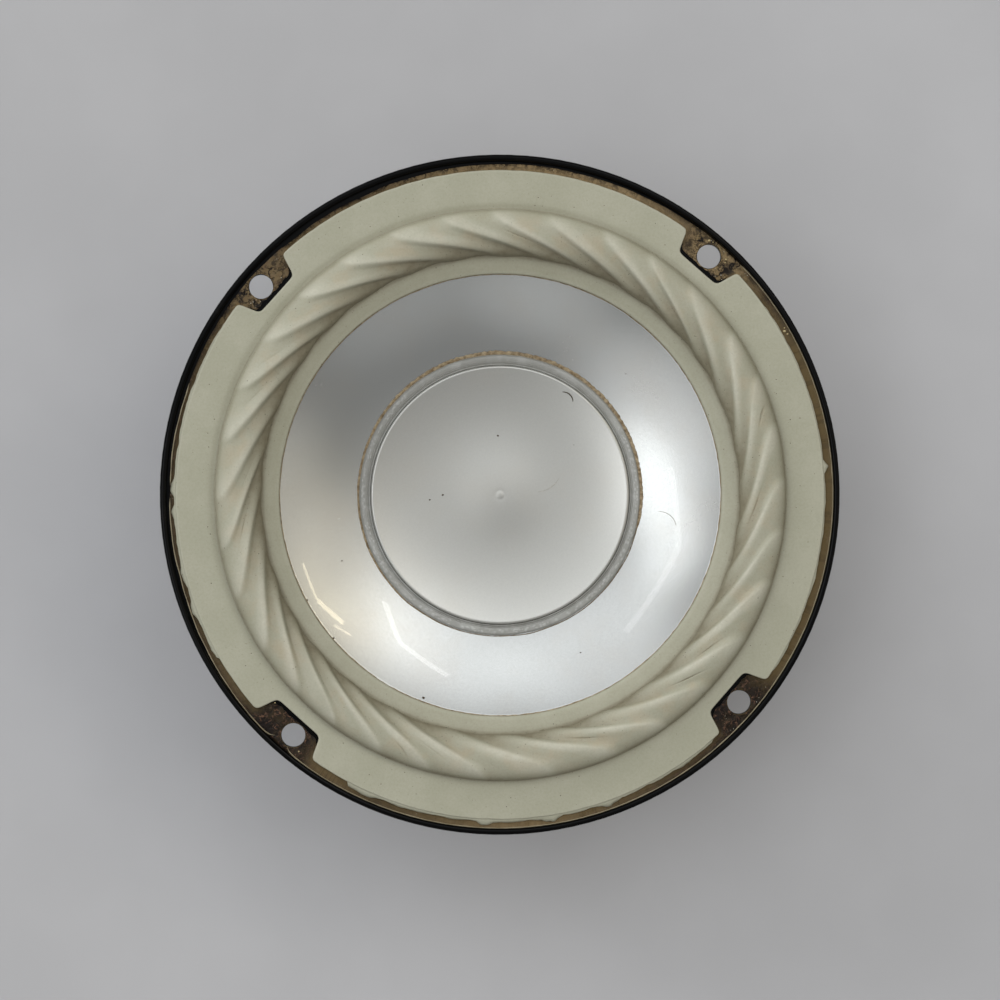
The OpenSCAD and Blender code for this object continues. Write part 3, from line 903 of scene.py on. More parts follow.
BLACK_ENAMEL = Enamel("black_enamel")
GREY_RUBBER = Rubber("grey_green_rubber")
CONE_LACQUER = SilverLacquer("cone_silver_lacquer")
CAP_LACQUER = SilverLacquer(
    "cap_silver_lacquer",
    colour=srgb(193, 193, 188),
    stain=srgb(185, 179, 167),
    metallic=0.7,
    gloss=0.3,
    flake=0.14,
    coat=0.3,
    coat_gloss=0.08,
)
CLEAR_GLUE = ClearGlue("clear_glue")
RIM_GLUE = RimFilm("rim_glue")
LINE_GLUE = AgedGlue(
    "line_glue",
    light=srgb(170, 152, 120),
    dark=srgb(112, 92, 62),
    vein=srgb(70, 56, 38),
    crack_per_mm=1.1,
    crack_share=0.3,
    blotch_per_mm=1.0,
)
# Pale glue along the lip: its paleness is a painted highlight on the lip's inner foot.
LIP_HIGHLIGHT_GLUE = CuredGlue("lip_highlight_glue", colour=srgb(168, 156, 128), gloss=0.24)
DROP_GLUE = CuredGlue("drop_glue", colour=srgb(190, 172, 128), gloss=0.06)
CLOTH_GLUE = AgedGlue("cloth_glue", light=srgb(132, 96, 48), dark=srgb(88, 58, 28), crack_share=0.3)
BLACK_GLUE = CuredGlue("black_glue")
FORMER_FILM = FormerFilm("former_film")
COIL_COPPER = WoundCopper("coil_copper")
COLLAR_PAPER = Paper("collar_paper")
SPIDER_CLOTH = DippedCloth("spider_cloth")
ZINC_PLATE = PlatedSteel("zinc_plate")
RIVET_STEEL = PlatedSteel("rivet_steel", colour=srgb(178, 178, 176), tarnish=srgb(128, 122, 108), gloss=0.3)
BLADE_BRASS = PlatedSteel(
    "blade_brass",
    colour=srgb(206, 182, 122),
    tarnish=srgb(158, 122, 66),
    lay=Lay.STRAIGHT,
    gloss=0.26,
)
FERRITE = Ferrite("ferrite")
BOARD_LAMINATE = Laminate("board_laminate")
SOLDER = Solder("solder")
TINSEL = TinselBraid("tinsel_braid")
DARK_GRIT = Grit("dark_grit")
PALE_LINT = Grit("pale_lint", colour=srgb(150, 146, 136))
RED_PAINT = CuredGlue("red_paint", colour=srgb(150, 26, 20), gloss=0.28)
PALE_FLOOR = PaleFloor("pale_floor")


# ---- meshes


def put(name: str, data: bpy.types.ID) -> Piece:
    """Adds an object to the scene.

    Args:
        name: Its name.
        data: Its mesh, lamp or camera.

    Returns:
        The object.
    """
    thing = bpy.data.objects.new(name, data)
    bpy.context.scene.collection.objects.link(thing)
    return thing


def add_piece(name: str, points: Array, faces: Iterable[Sequence[int]], finish: Finish) -> Piece:
    """Makes a mesh object from points in millimetres.

    Args:
        name: The piece's name.
        points: Its points, one row each.
        faces: Its faces, as lists of point numbers.
        finish: Its finish.

    Returns:
        The new object, smooth except over its sharp edges.
    """
    mesh = bpy.data.meshes.new(name)
    mesh.from_pydata((np.asarray(points) * MM).tolist(), [], [list(map(int, f)) for f in faces])
    mesh.validate()
    mesh.polygons.foreach_set("use_smooth", [True] * len(mesh.polygons))
    mesh.set_sharp_from_angle(angle=math.radians(SHARP_DEG))
    mesh.materials.append(finish.material())
    return put(name, mesh)


def store(piece: Piece, name: str, values: Array) -> None:
    """Stores one value for each point of a piece, which its finish can read."""
    layer = piece.data.attributes.new(name, "FLOAT", "POINT")
    layer.data.foreach_set("value", np.asarray(values, np.float32).ravel())


def settle(piece: Piece, body: str | None, replaces: Sequence[str] = ()) -> None:
    """Says what a piece rides on and the CAD nodes it stands for.

    Args:
        piece: The piece.
        body: The CAD body it rides on, or None for a piece that is left unattached.
        replaces: The CAD nodes it stands for.
    """
    if body:
        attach(piece, body)
    if replaces:
        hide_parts(*replaces)
    LOG.info("%s: %d points, rides on %s", piece.name, len(piece.data.vertices), body or "both")


def flex_by_radius(piece: Piece, inner: float, outer: float) -> None:
    """Bakes a ring's placing into its mesh and works out how far each point lies from the cone out to the
    frame; that share is not used, so the ring is not made to bend.

    Args:
        piece: The ring.
        inner: The radius, in millimetres, where the share is 0.
        outer: The radius where the share is 1.
    """
    inner * MM
    outer * MM
    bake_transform(piece)
    points = np.array([vertex.co for vertex in piece.data.vertices])
    share = np.clip((np.hypot(points[:, 0], points[:, 1]) / MM - inner) / (outer - inner), 0, 1)


def circle(count: int) -> Array:
    """Returns this many angles, in radians, evenly round one turn."""
    return np.linspace(0, math.tau, count, endpoint=False)


def placed(radius: Numbers, angle: Numbers, height: Numbers) -> Array:
    """Returns points at radii, clockwise angles in radians and heights."""
    return np.stack(np.broadcast_arrays(radius * np.sin(angle), radius * np.cos(angle), height), -1)


def ripple(angle: Array, seed: int, waves: int, highest: int = 40) -> Array:
    """Returns a smooth random line round the driver, about -1 to 1.

    Args:
        angle: Where it is read, in radians.
        seed: Picks the line.
        waves: How many waves are summed.
        highest: The most wiggles that one wave has in a turn.

    Returns:
        The line's value at each angle.
    """
    rng = np.random.default_rng(seed)
    total = np.zeros_like(angle)
    for _ in range(waves):
        count = int(rng.integers(2, highest))
        total += rng.uniform(0.3, 1.0) * np.sin(count * angle + rng.uniform(0, math.tau))
    return total / math.sqrt(waves)


@dataclass
class Lathe:
    """A closed outline turned round the driver's axis, free to vary on its way.

    Attributes:
        radius: Radii in millimetres, one row for each point of the outline and one
            column for each angle.
        height: Heights, in the same form.
        angle: Clockwise angles in radians over one turn, for all rows or in the same form.
    """

    radius: Array
    height: Array
    angle: Array

    @classmethod
    def plain(cls, outline: Sequence[Floats], turns: int) -> "Lathe":
        """Makes a lathe of one unchanging outline of radii and heights, with this many turns."""
        radius, height = np.array(outline, float).T[..., None] * np.ones(turns)
        return cls(radius, height, circle(turns))

    def piece(self, name: str, finish: Finish) -> Piece:
        """Makes the turned piece, which faces outwards if the outline runs clockwise."""
        points = placed(self.radius, self.angle, self.height).reshape(-1, 3)
        return add_piece(name, points, quads(*self.radius.shape, wrap=True), finish)


def quads(rows: int, columns: int, wrap: bool = False) -> Array:
    """Joins rows of points, each a closed ring, with four-sided faces.

    Args:
        rows: How many rows there are.
        columns: How many points each row has.
        wrap: Whether the last row is joined to the first.

    Returns:
        The four point numbers of each face: along its row, then back along the next.
    """
    row, column = np.divmod(np.arange((rows if wrap else rows - 1) * columns), columns)
    ahead = (column + 1) % columns
    here, there = row * columns, (row + 1) % rows * columns
    return np.stack([here + column, here + ahead, there + ahead, there + column], -1)


def tube(path: Array, radius: Array, sides: int) -> Solid:
    """Sweeps a round section along a path.

    Args:
        path: The path's points in millimetres.
        radius: The radius at each point, as a row of one value or of one for each side.
        sides: How many points go round.

    Returns:
        The points and the faces, closed at both ends.
    """
    ahead = np.gradient(path, axis=0)
    ahead /= np.linalg.norm(ahead, axis=1, keepdims=True)
    side = np.cross(ahead, (0.0, 0.0, 1.0))
    side /= np.linalg.norm(side, axis=1, keepdims=True)
    up = np.cross(side, ahead)
    turn = circle(sides)[:, None]
    outwards = np.cos(turn) * side[:, None] + np.sin(turn) * up[:, None]
    return sweep(path[:, None] + radius[..., None] * outwards)


def sweep(rings: Array) -> Solid:
    """Joins closed rings of points into a bar that is closed at both ends.

    Args:
        rings: The rings along the bar, each with as many points. Each ring runs from the
            right over the top, as seen along the bar.

    Returns:
        The points and the faces.
    """
    count, sides, _ = rings.shape
    first = np.arange(sides)
    last = (count - 1) * sides + first[::-1]
    return rings.reshape(-1, 3), [first, *quads(count, sides)[:, TURNED_ROUND], last]


def cut(piece: Piece, cutter: Piece) -> None:
    """Cuts a closed cutter out of a piece and removes the cutter.

    Args:
        piece: What is cut.
        cutter: The closed mesh that is taken out of it.
    """
    modifier = piece.modifiers.new("cut", "BOOLEAN")
    modifier.object = cutter
    modifier.solver = "EXACT"
    bpy.context.view_layer.update()
    graph = bpy.context.evaluated_depsgraph_get()
    mesh = bpy.data.meshes.new_from_object(piece.evaluated_get(graph))
    piece.modifiers.remove(modifier)
    old, piece.data = piece.data, mesh
    bpy.data.meshes.remove(old)
    bpy.data.objects.remove(cutter)


def blob(around: int, rows: int, seed: int, rough: float) -> Solid:
    """Makes a lumpy closed ball with a radius of about 1.

    Args:
        around: How many points go round.
        rows: How many rows of points lie between its poles.
        seed: Picks its lumps.
        rough: How far the lumps go in and out.

    Returns:
        The points and the faces.
    """
    rng = np.random.default_rng(seed)
    lean = np.linspace(0, math.pi, rows + 2)[1:-1, None]
    turn = circle(around)
    lumps = sum(
        np.sin(k * turn + rng.uniform(0, 6)) * np.sin(k * lean + rng.uniform(0, 6)) for k in range(1, 5)
    )
    reach = 1 + rough * lumps
    across = reach * np.sin(lean)
    ball = np.stack([across * np.cos(turn), across * np.sin(turn), reach * np.cos(lean)], -1)
    points = np.concatenate([ball.reshape(-1, 3), [(0, 0, 1), (0, 0, -1)]])
    top, bottom = rows * around, rows * around + 1
    faces = [[top, j, (j + 1) % around] for j in range(around)]
    faces += quads(rows, around)[:, TURNED_ROUND].tolist()
    last = (rows - 1) * around
    faces += [[bottom, last + (j + 1) % around, last + j] for j in range(around)]
    return points, faces


def join_meshes(name: str, parts: Sequence[Solid], finish: Finish) -> Piece:
    """Makes one piece of several closed meshes.

    Args:
        name: The piece's name.
        parts: Points and faces of each.
        finish: The finish of all.

    Returns:
        The piece.
    """
    first = np.cumsum([0] + [len(points) for points, _ in parts])
    faces = [[start + i for i in face] for start, (_, part) in zip(first, parts) for face in part]
    return add_piece(name, np.concatenate([points for points, _ in parts]), faces, finish)


def arc(centre: Floats, radius: float, start: float, stop: float, steps: int) -> list[Floats]:
    """Returns points on an arc of a section, its angles in degrees from outwards."""
    turns = np.radians(np.linspace(start, stop, steps + 1))
    return [(centre[0] + radius * math.cos(t), centre[1] + radius * math.sin(t)) for t in turns]


@dataclass(frozen=True)
class Spot:
    """A small lump: its clockwise angle in degrees, and its radius and size in millimetres."""

    angle: float
    radius: float
    size: float

    def lump(self, height: float, flat: float, rough: float, sides: int, rows: int, seed: int = 0) -> Solid:
        """Shapes the lump.

        Args:
            height: The height of its middle.
            flat: Its height as a share of its length.
            rough: How far its bumps go in and out.
            sides: How many points go round it.
            rows: How many rows of points it has.
            seed: Picks its bumps, with its angle.

        Returns:
            The points and the faces.
        """
        points, faces = blob(sides, rows, int(self.angle * 10) + seed, rough)
        points = points * (self.size, self.size * 0.8, self.size * flat)
        return points + placed(self.radius, math.radians(self.angle), height), faces


def box_mm(node: str) -> tuple[Array, Array]:
    """Returns the lowest and the highest corner of a CAD node, in millimetres."""
    low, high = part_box(node)
    return np.array(low) / MM, np.array(high) / MM


@dataclass(frozen=True)
class Span:
    """How far a round CAD node reaches, in millimetres."""

    radius: float
    low: float
    high: float

    @classmethod
    def of(cls, node: str) -> "Span":
        """Reads the span of a node from the frame."""
        low, high = box_mm(node)
        return cls(high[0], low[2], high[2])


@dataclass(frozen=True)
class Notch:
    """The cut round each screw in the surround's flange, in millimetres."""

    inner_w: float = 12.9
    outer_w: float = 17.0
    depth: float = 5.9
    softness: float = 0.78
    angles: Floats = (44.8, 135.1, 226.4, 315.9)
    wideness: Floats = (0.94, 1.0, 1.06, 0.94)

    def _curve(self, edge: float) -> tuple[Array, Array]:
        """Draws half of the notch's outline and rounds its corners.

        Args:
            edge: The flange's radius between the notches.

        Returns:
            The outline's offsets from the notch's middle, in radians, and its radii.
        """
        bottom = edge - self.depth
        reach = self.outer_w / 2 + 4.0
        corners = np.array([
            (0.0, bottom),
            (self.inner_w / 2, bottom),
            (self.outer_w / 2, math.sqrt(edge**2 - (self.outer_w / 2) ** 2)),
            (reach, math.sqrt(edge**2 - reach**2)),
        ])
        walked = np.concatenate([[0], np.cumsum(np.hypot(*np.diff(corners, axis=0).T))])
        step = 0.05
        fine = np.arange(-walked[-1], walked[-1], step)
        across = np.interp(abs(fine), walked, corners[:, 0]) * np.sign(fine)
        along = np.interp(abs(fine), walked, corners[:, 1])
        window = np.exp(-((np.arange(-60, 61) * step / self.softness) ** 2) / 2)
        window /= window.sum()
        across = np.convolve(across, window, "same")
        along = np.convolve(along, window, "same")
        kept = (fine >= 0) & (fine < walked[-1] - 3 * self.softness)
        return np.arctan2(across, along)[kept], np.hypot(across, along)[kept]

    def offset(self, angle: Array) -> Array:
        """Returns how far each angle is from the nearest notch, in radians and its wideness."""
        away = (angle[..., None] - np.radians(self.angles) + math.pi) % math.tau - math.pi
        return (abs(away) / np.array(self.wideness)).min(axis=-1)

    def edge(self, angle: Array, edge: float) -> Array:
        """Returns the flange's radius at each angle; between the notches it is edge."""
        offsets, radii = self._curve(edge)
        return np.minimum(np.interp(self.offset(angle), offsets, radii, right=edge), edge)

    def share(self, angle: Array, edge: float) -> Array:
        """Returns 1 in the middle of a notch and 0 away from it."""
        return np.clip((edge - self.edge(angle, edge)) / self.depth, 0, 1)

    def wall_angles(self, edge: float) -> Array:
        """Spaces angles closely over the side walls of all the notches.

        Args:
            edge: The flange's radius between the notches.

        Returns:
            The angles, in radians.
        """
        low = math.asin(self.inner_w / 2 / edge) - 0.014
        high = math.asin(self.outer_w / 2 / edge) + 0.016
        wall = np.linspace(low, high, 26)
        both = list(zip(self.angles, self.wideness))
        return np.concatenate([math.radians(a) + s * w * wall for a, w in both for s in (-1, 1)])


class SubAssembly:
    """A group of pieces: some are built, and CAD shapes that stay are dressed."""

    kept: ClassVar[Mapping[str, Finish]] = {}

    def build(self) -> None:
        """Builds the pieces that need more than the CAD shapes; there may be none."""

    def dress(self, frame: Mapping[str, object]) -> None:
        """Gives each CAD node whose shape stays its finish.
        """
        for name, finish in self.kept.items():
            node = frame["nodes"][name]
            if not node.material_slots:
                node.data.materials.append(None)
            for slot in node.material_slots:
                slot.material = finish.material()
            LOG.info("%s: CAD shape, %s", name, finish.name)


class RubberRow(NamedTuple):
    """A row of the rubber's mesh: each value is one for the row, or one for each angle.

    Attributes:
        radius: Its radius, in millimetres.
        height: Its height.
        twist: How far it is turned, in radians.
        ridge: How pale it is, 0 to 1: a painted sheen on the crests, most on the lower
            right of the roll and on the flange's rounded edge, with some bleaching.
        shade_and_soil: How dark it is, 0 to 1: dirt, and painted shade in the valleys, at the feet,
            in the slits, on the edge's wall and on the side of the roll turned from the light.
        roll: How much of the roll it is, 0 to 1.
    """

    radius: Numbers
    height: Numbers
    twist: Numbers = 0.0
    ridge: Numbers = 0.0
    shade_and_soil: Numbers = 0.0
    roll: float = 0.0


@dataclass
class RopeSurround(SubAssembly):
    """The rubber surround: a roll moulded as twisted strands between two flanges."""

    roll_w: float = 11.4
    roll_h: float = 5.0
    roll_t: float = 1.1
    flange_t: float = 1.4
    flange_drop: float = 0.9
    inner_flange_w: float = 4.1
    strands: int = 32
    strand_steps: int = 32
    roll_steps: int = 44
    sweep: float = 23.0
    sweep_power: float = 1.9
    lead: float = 3.3
    wander: float = 2.6
    edge_round: float = 0.3
    foot_valley: float = 0.22
    relief_places: Floats = (0.0, 0.06, 0.2, 0.4, 0.6, 0.8, 0.93, 1.0)
    relief_depths: Floats = (0.02, 0.15, 0.4, 0.6, 0.66, 0.66, 0.6, 0.4)
    nudge_places: Floats = (0, 60, 75, 90, 120, 155, 185, 205, 225, 270, 300, 345)
    nudges: Floats = (2.0, 1.8, 0.0, -2.0, -3.5, -2.5, 1.5, 2.5, 0.0, 0.3, 1.5, 2.5)
    notch: Notch = field(default_factory=Notch)

    def __post_init__(self) -> None:
        """Takes the places of the flanges and the roll from the frame."""
        span = Span.of("surround")
        self.edge = span.radius
        self.foot_in = Span.of("cone").radius + 0.3
        self.foot_out = self.foot_in + self.roll_w
        self.middle = (self.foot_in + self.foot_out) / 2
        self.top_out = span.high - self.roll_h + self.flange_drop / 2
        self.top_in = self.top_out - self.flange_drop
        self.bottom_out = self.top_out - self.flange_t
        self.bottom_in = self.top_in - self.flange_t
        self.inner_edge = self.foot_in - self.inner_flange_w
        self.top = span.high

    def _columns(self) -> Array:
        """Spaces the columns of the mesh evenly on the strands, and closely at the notches.

        Returns:
            Their angles, in radians.
        """
        turns = circle(self.strands * self.strand_steps)
        both = np.sort(np.concatenate([turns, self.notch.wall_angles(self.edge)]) % math.tau)
        least_gap = 0.0012
        return both[np.diff(both, append=both[0] + math.tau) > least_gap]

    def _strand(self, turn: Array, share: float) -> tuple[Array, Array]:
        """Returns the height of the strands and the short slits in them, both 0 to 1.

        Each strand rises steeply from the valley behind it to its crest, and falls away
        slowly to the next valley.

        Args:
            turn: Angles with the twist taken off, in radians.
            share: 0 at the outer foot and 1 at the inner one.

        Returns:
            The height, 0 in a valley and 1 on a crest, and the slits.
        """
        nudge = np.interp(np.degrees(turn) % 360, self.nudge_places, self.nudges, period=360)
        drift = np.radians(self.lead + nudge + self.wander * np.cos(turn - math.radians(200)))
        phase = (turn - drift) * self.strands / math.tau + 0.1 * ripple(turn, 22, 8, 14)
        across = phase % 1.0
        valley = float(np.interp(share, (0.0, 0.3, 0.7, 1.0), (0.86, 0.76, 0.66, 0.6)))
        valley = np.clip(valley + 0.04 * ripple(turn, 23, 8, 22), 0.5, 0.94)
        away = np.where(across < valley, across / valley, (1 - across) / (1 - valley))
        height = 0.46 * (1 + np.cos(math.pi * away)) + 0.08 * (1 - away) ** 2
        rng = np.random.default_rng(25)
        which = np.floor(phase).astype(int) % self.strands
        shown = rng.uniform(-1.0, 1.2, self.strands)[which].clip(0, 1)
        middle = rng.uniform(0.25, 0.75, self.strands)[which]
        place = rng.uniform(0.3, 0.7, self.strands)[which]
        slit = shown * np.exp(-(((across - place) / 0.03) ** 2) - ((share - middle) / 0.1) ** 2)
        return height, slit

    def _roll_row(self, turn: float, under: bool) -> tuple[float, float, float, float]:
        """Places one row of the roll.

        Args:
            turn: Where it lies on the half round, in radians from the outer foot.
            under: Whether it is on the underside.

        Returns:
            Its radius, its height and its outward direction.
        """
        wall = self.roll_t if under else 0.0
        low_out = self.bottom_out if under else self.top_out
        low_in = self.bottom_in if under else self.top_in
        base = (low_out + low_in + (low_out - low_in) * math.cos(turn)) / 2
        rise = self.roll_h - wall + (self.flange_t if under else 0.0)
        radius = self.middle + (self.roll_w / 2 - wall) * math.cos(turn)
        lean = math.atan2(math.sin(turn) * self.roll_w / 2, math.cos(turn) * self.roll_h)
        return radius, base + rise * math.sin(turn), math.cos(lean), math.sin(lean)

    def _twist(self, radius: float) -> float:
        """Returns how far a strand has turned where it is this near the cone, in radians."""
        share = min(max((self.foot_out - radius) / self.roll_w, 0.0), 1.0)
        return math.radians(self.sweep) * share**self.sweep_power

    def build(self) -> None:
        """Builds the surround: over the top from the inner flange, and back underneath."""
        column = self._columns()
        rim = self.notch.edge(column, self.edge)
        rim = rim + 0.07 * ripple(column, 3, 14, 90) * (1 - self.notch.share(column, self.edge))
        rim = np.minimum(rim, self.edge)
        under = self.bottom_out + 0.02
        rows = [
            *self._inner_flange(column),
            *self._roll(column, under=False),
            *self._outer_flange(column, rim),
            # The edge's wall is painted fully dark at its foot, as shade.
            RubberRow(rim, under, shade_and_soil=1.0),
            RubberRow(self.foot_out + 0.4, under),
            *self._roll(column, under=True),
            RubberRow(self.foot_in - 0.3, self.bottom_in + 0.06, math.radians(self.sweep)),
        ]
        values = np.array([[value + 0 * column for value in row] for row in rows])
        radius, height, twist, *tones = values.transpose(1, 0, 2)
        piece = Lathe(radius, height, column + twist).piece("rope_surround", GREY_RUBBER)
        for name, values in zip(("ridge", "shade_and_soil", "roll"), tones):
            store(piece, name, values)
        flex_by_radius(piece, self.foot_in - 0.4, self.foot_out + 0.4)
        settle(piece, None, ["surround"])

    def _inner_flange(self, column: Array) -> list[RubberRow]:
        """Shapes the rounded edge on the cone, and the flange up to the roll's foot.

        Args:
            column: The angles of the mesh.

        Returns:
            Its rows, outwards.
        """
        full = math.radians(self.sweep)
        seam = 0.03 * ripple(column, 5, 16, 60)
        foot = self.inner_edge + 0.05
        rows = []
        for inset, height in ((0.0, -0.1), (0.0, 0.3), (0.06, 0.47), (0.2, 0.6), (0.5, 0.72)):
            rows.append(RubberRow(foot + inset + seam, self.bottom_in + 0.04 + height - 0.5, full))
        for share in (0.3, 0.6, 0.85, 0.97):
            radius = foot + share * (self.foot_in - foot)
            height = self.bottom_in + 0.26 + (self.top_in - self.bottom_in - 0.26) * share
            # The inner flange is darkened a little all over and strongly by the roll's foot: dirt and
            # painted shade.
            rows.append(RubberRow(radius, height, full, shade_and_soil=0.16 + 0.8 * share**10))
        return rows

    def _outer_flange(self, column: Array, rim: Array) -> list[RubberRow]:
        """Shapes the flange from the roll's foot to its rounded outer edge.

        Args:
            column: The angles of the mesh.
            rim: The radius of its outer edge at each angle.

        Returns:
            Its rows, outwards.
        """
        wave = 0.035 * ripple(column, 8, 10, 12)
        rows = []
        for share in (0.02, 0.05, 0.09, 0.14, 0.2, 0.3, 0.45, 0.6, 0.74):
            away = (rim - self.foot_out) * share
            valley = self.foot_valley * np.exp(-(((away - 0.35) / 0.75) ** 2))
            height = self.top_out + wave * share - valley
            # Dirt and painted shade darken the flange beside the roll's foot.
            shade_and_soil = 0.22 * np.exp(-((away / 1.3) ** 2)) + 0.45 * np.exp(-((away / 0.3) ** 2))
            rows.append(RubberRow(self.foot_out + away, height, shade_and_soil=shade_and_soil))
        radius, twist = self._inset(column, rim, 0.55)
        rows.append(RubberRow(radius, self.top_out + wave, twist))
        for turn in (0, 30, 60, 90):
            bend = math.radians(turn)
            radius, twist = self._inset(column, rim, self.edge_round * (1 - math.sin(bend)))
            height = self.top_out + wave - self.edge_round * (1 - math.cos(bend))
            # Painted highlight on the top of the rounded edge, and painted shade down its wall.
            rows.append(RubberRow(radius, height, twist, 0.3 * (turn < 60), 0.25 * turn / 90))
        return rows

    @staticmethod
    def _inset(column: Array, rim: Array, inset: float) -> tuple[Array, Array]:
        """Moves the flange's outline square to itself, into the rubber.

        Args:
            column: The angles of the mesh.
            rim: The outline's radius at each angle.
            inset: How far it moves, in millimetres.

        Returns:
            The new radius of each point, and how far it has turned.
        """
        x, y = rim * np.sin(column), rim * np.cos(column)
        ahead_x = np.roll(x, -1) - np.roll(x, 1)
        ahead_y = np.roll(y, -1) - np.roll(y, 1)
        size = np.hypot(ahead_x, ahead_y)
        x = x + inset * ahead_y / size
        y = y - inset * ahead_x / size
        turned = (np.arctan2(x, y) - column + math.pi) % math.tau - math.pi
        return np.hypot(x, y), turned

    def _roll(self, column: Array, under: bool) -> list[RubberRow]:
        """Shapes the roll, strands and all.

        Args:
            column: The angles of the mesh.
            under: Whether this is the underside, which runs inwards.

        Returns:
            Its rows.
        """
        rows = []
        steps = self.roll_steps // 2 if under else self.roll_steps
        turns = np.linspace(math.pi, 0, steps + 1)
        size = 1 + 0.16 * ripple(column, 21, 6, 16)
        for turn in reversed(turns) if under else turns:
            radius, height, out, up = self._roll_row(float(turn), under)
            share = (self.foot_out - radius) / self.roll_w
            depth = float(np.interp(share, self.relief_places, self.relief_depths))
            strand, slit = self._strand(column, share)
            sink = depth * (1 - strand) * size + 0.05 * (1 + ripple(column, 24, 12, 70)) * depth
            sink = sink + 0.25 * slit
            # Painted shade with dirt: the colour darkens at both feet, in the valleys and slits, on the
            # inner side of the roll at the top left and on its outer side at the bottom right, where the
            # roll is turned from the light.
            feet = 0.5 * math.exp(-((share / 0.06) ** 2)) + 0.9 * math.exp(-(1 - share) / 0.07)
            painted_darkening = float(np.interp(share, (0.0, 0.4, 0.8, 1.0), (0.1, 0.2, 0.45, 0.5)))
            upper = 0.5 + 0.5 * np.cos(column + self._twist(radius) - math.radians(335))
            shade = upper * max(share - 0.55, 0) * 1.5 + (1 - upper) * max(0.25 - share, 0) * 1.8
            shade_and_soil = np.clip((1 - strand) ** 1.6 * painted_darkening + feet + shade + 0.6 * slit, 0, 1)
            streak = 0.3 * np.maximum(ripple(column, 26, 14, 260), 0) + ripple(column, 27, 10, 60)
            # Painted sheen: the crests are paler towards the outer foot and, part way in, most on the lower
            # right, where they face the light.
            high = (0.8 - 0.5 * upper) * math.exp(-(((share - 0.62) / 0.16) ** 2))
            ridge = strand**2.5 * (high + min(depth / 0.4, 1.0) * max(1 - share, 0.0) ** 0.7)
            ridge = np.clip(ridge + 0.35 * streak * math.sin(math.pi * share), 0, 1)
            valley = self.foot_valley * 0.8 * math.exp(-((share / 0.05) ** 2))
            level = np.minimum(height - sink * up - valley, self.top)
            worn = max(math.sin(math.pi * share), 0.0)
            twist = self._twist(radius)
            rows.append(RubberRow(radius - sink * out, level, twist, ridge, shade_and_soil, worn))
        return rows


@dataclass(frozen=True)
class GlueTone:
    """What the glue on the rim is like at one place. Shares run from 0 to 1.

    Attributes:
        angle: The place, clockwise from the driver's top, in degrees.
        tan: How thick and tan it is.
        dirt: How dark it is with dirt.
        veins: How strongly dark veins branch in it.
        stripes: How strongly dark stripes cross it.
        bare: How much enamel it leaves bare beside the lip, in millimetres.
    """

    angle: float
    tan: float
    dirt: float
    veins: float
    stripes: float
    bare: float


@dataclass(frozen=True)
class Flap:
    """A tongue of rubber that stands out of the flange's edge.

    Attributes:
        angle: Its middle, clockwise from the driver's top, in degrees.
        half: Half its length, in degrees.
        reach: How far it stands out, in millimetres.
    """

    angle: float
    half: float
    reach: float


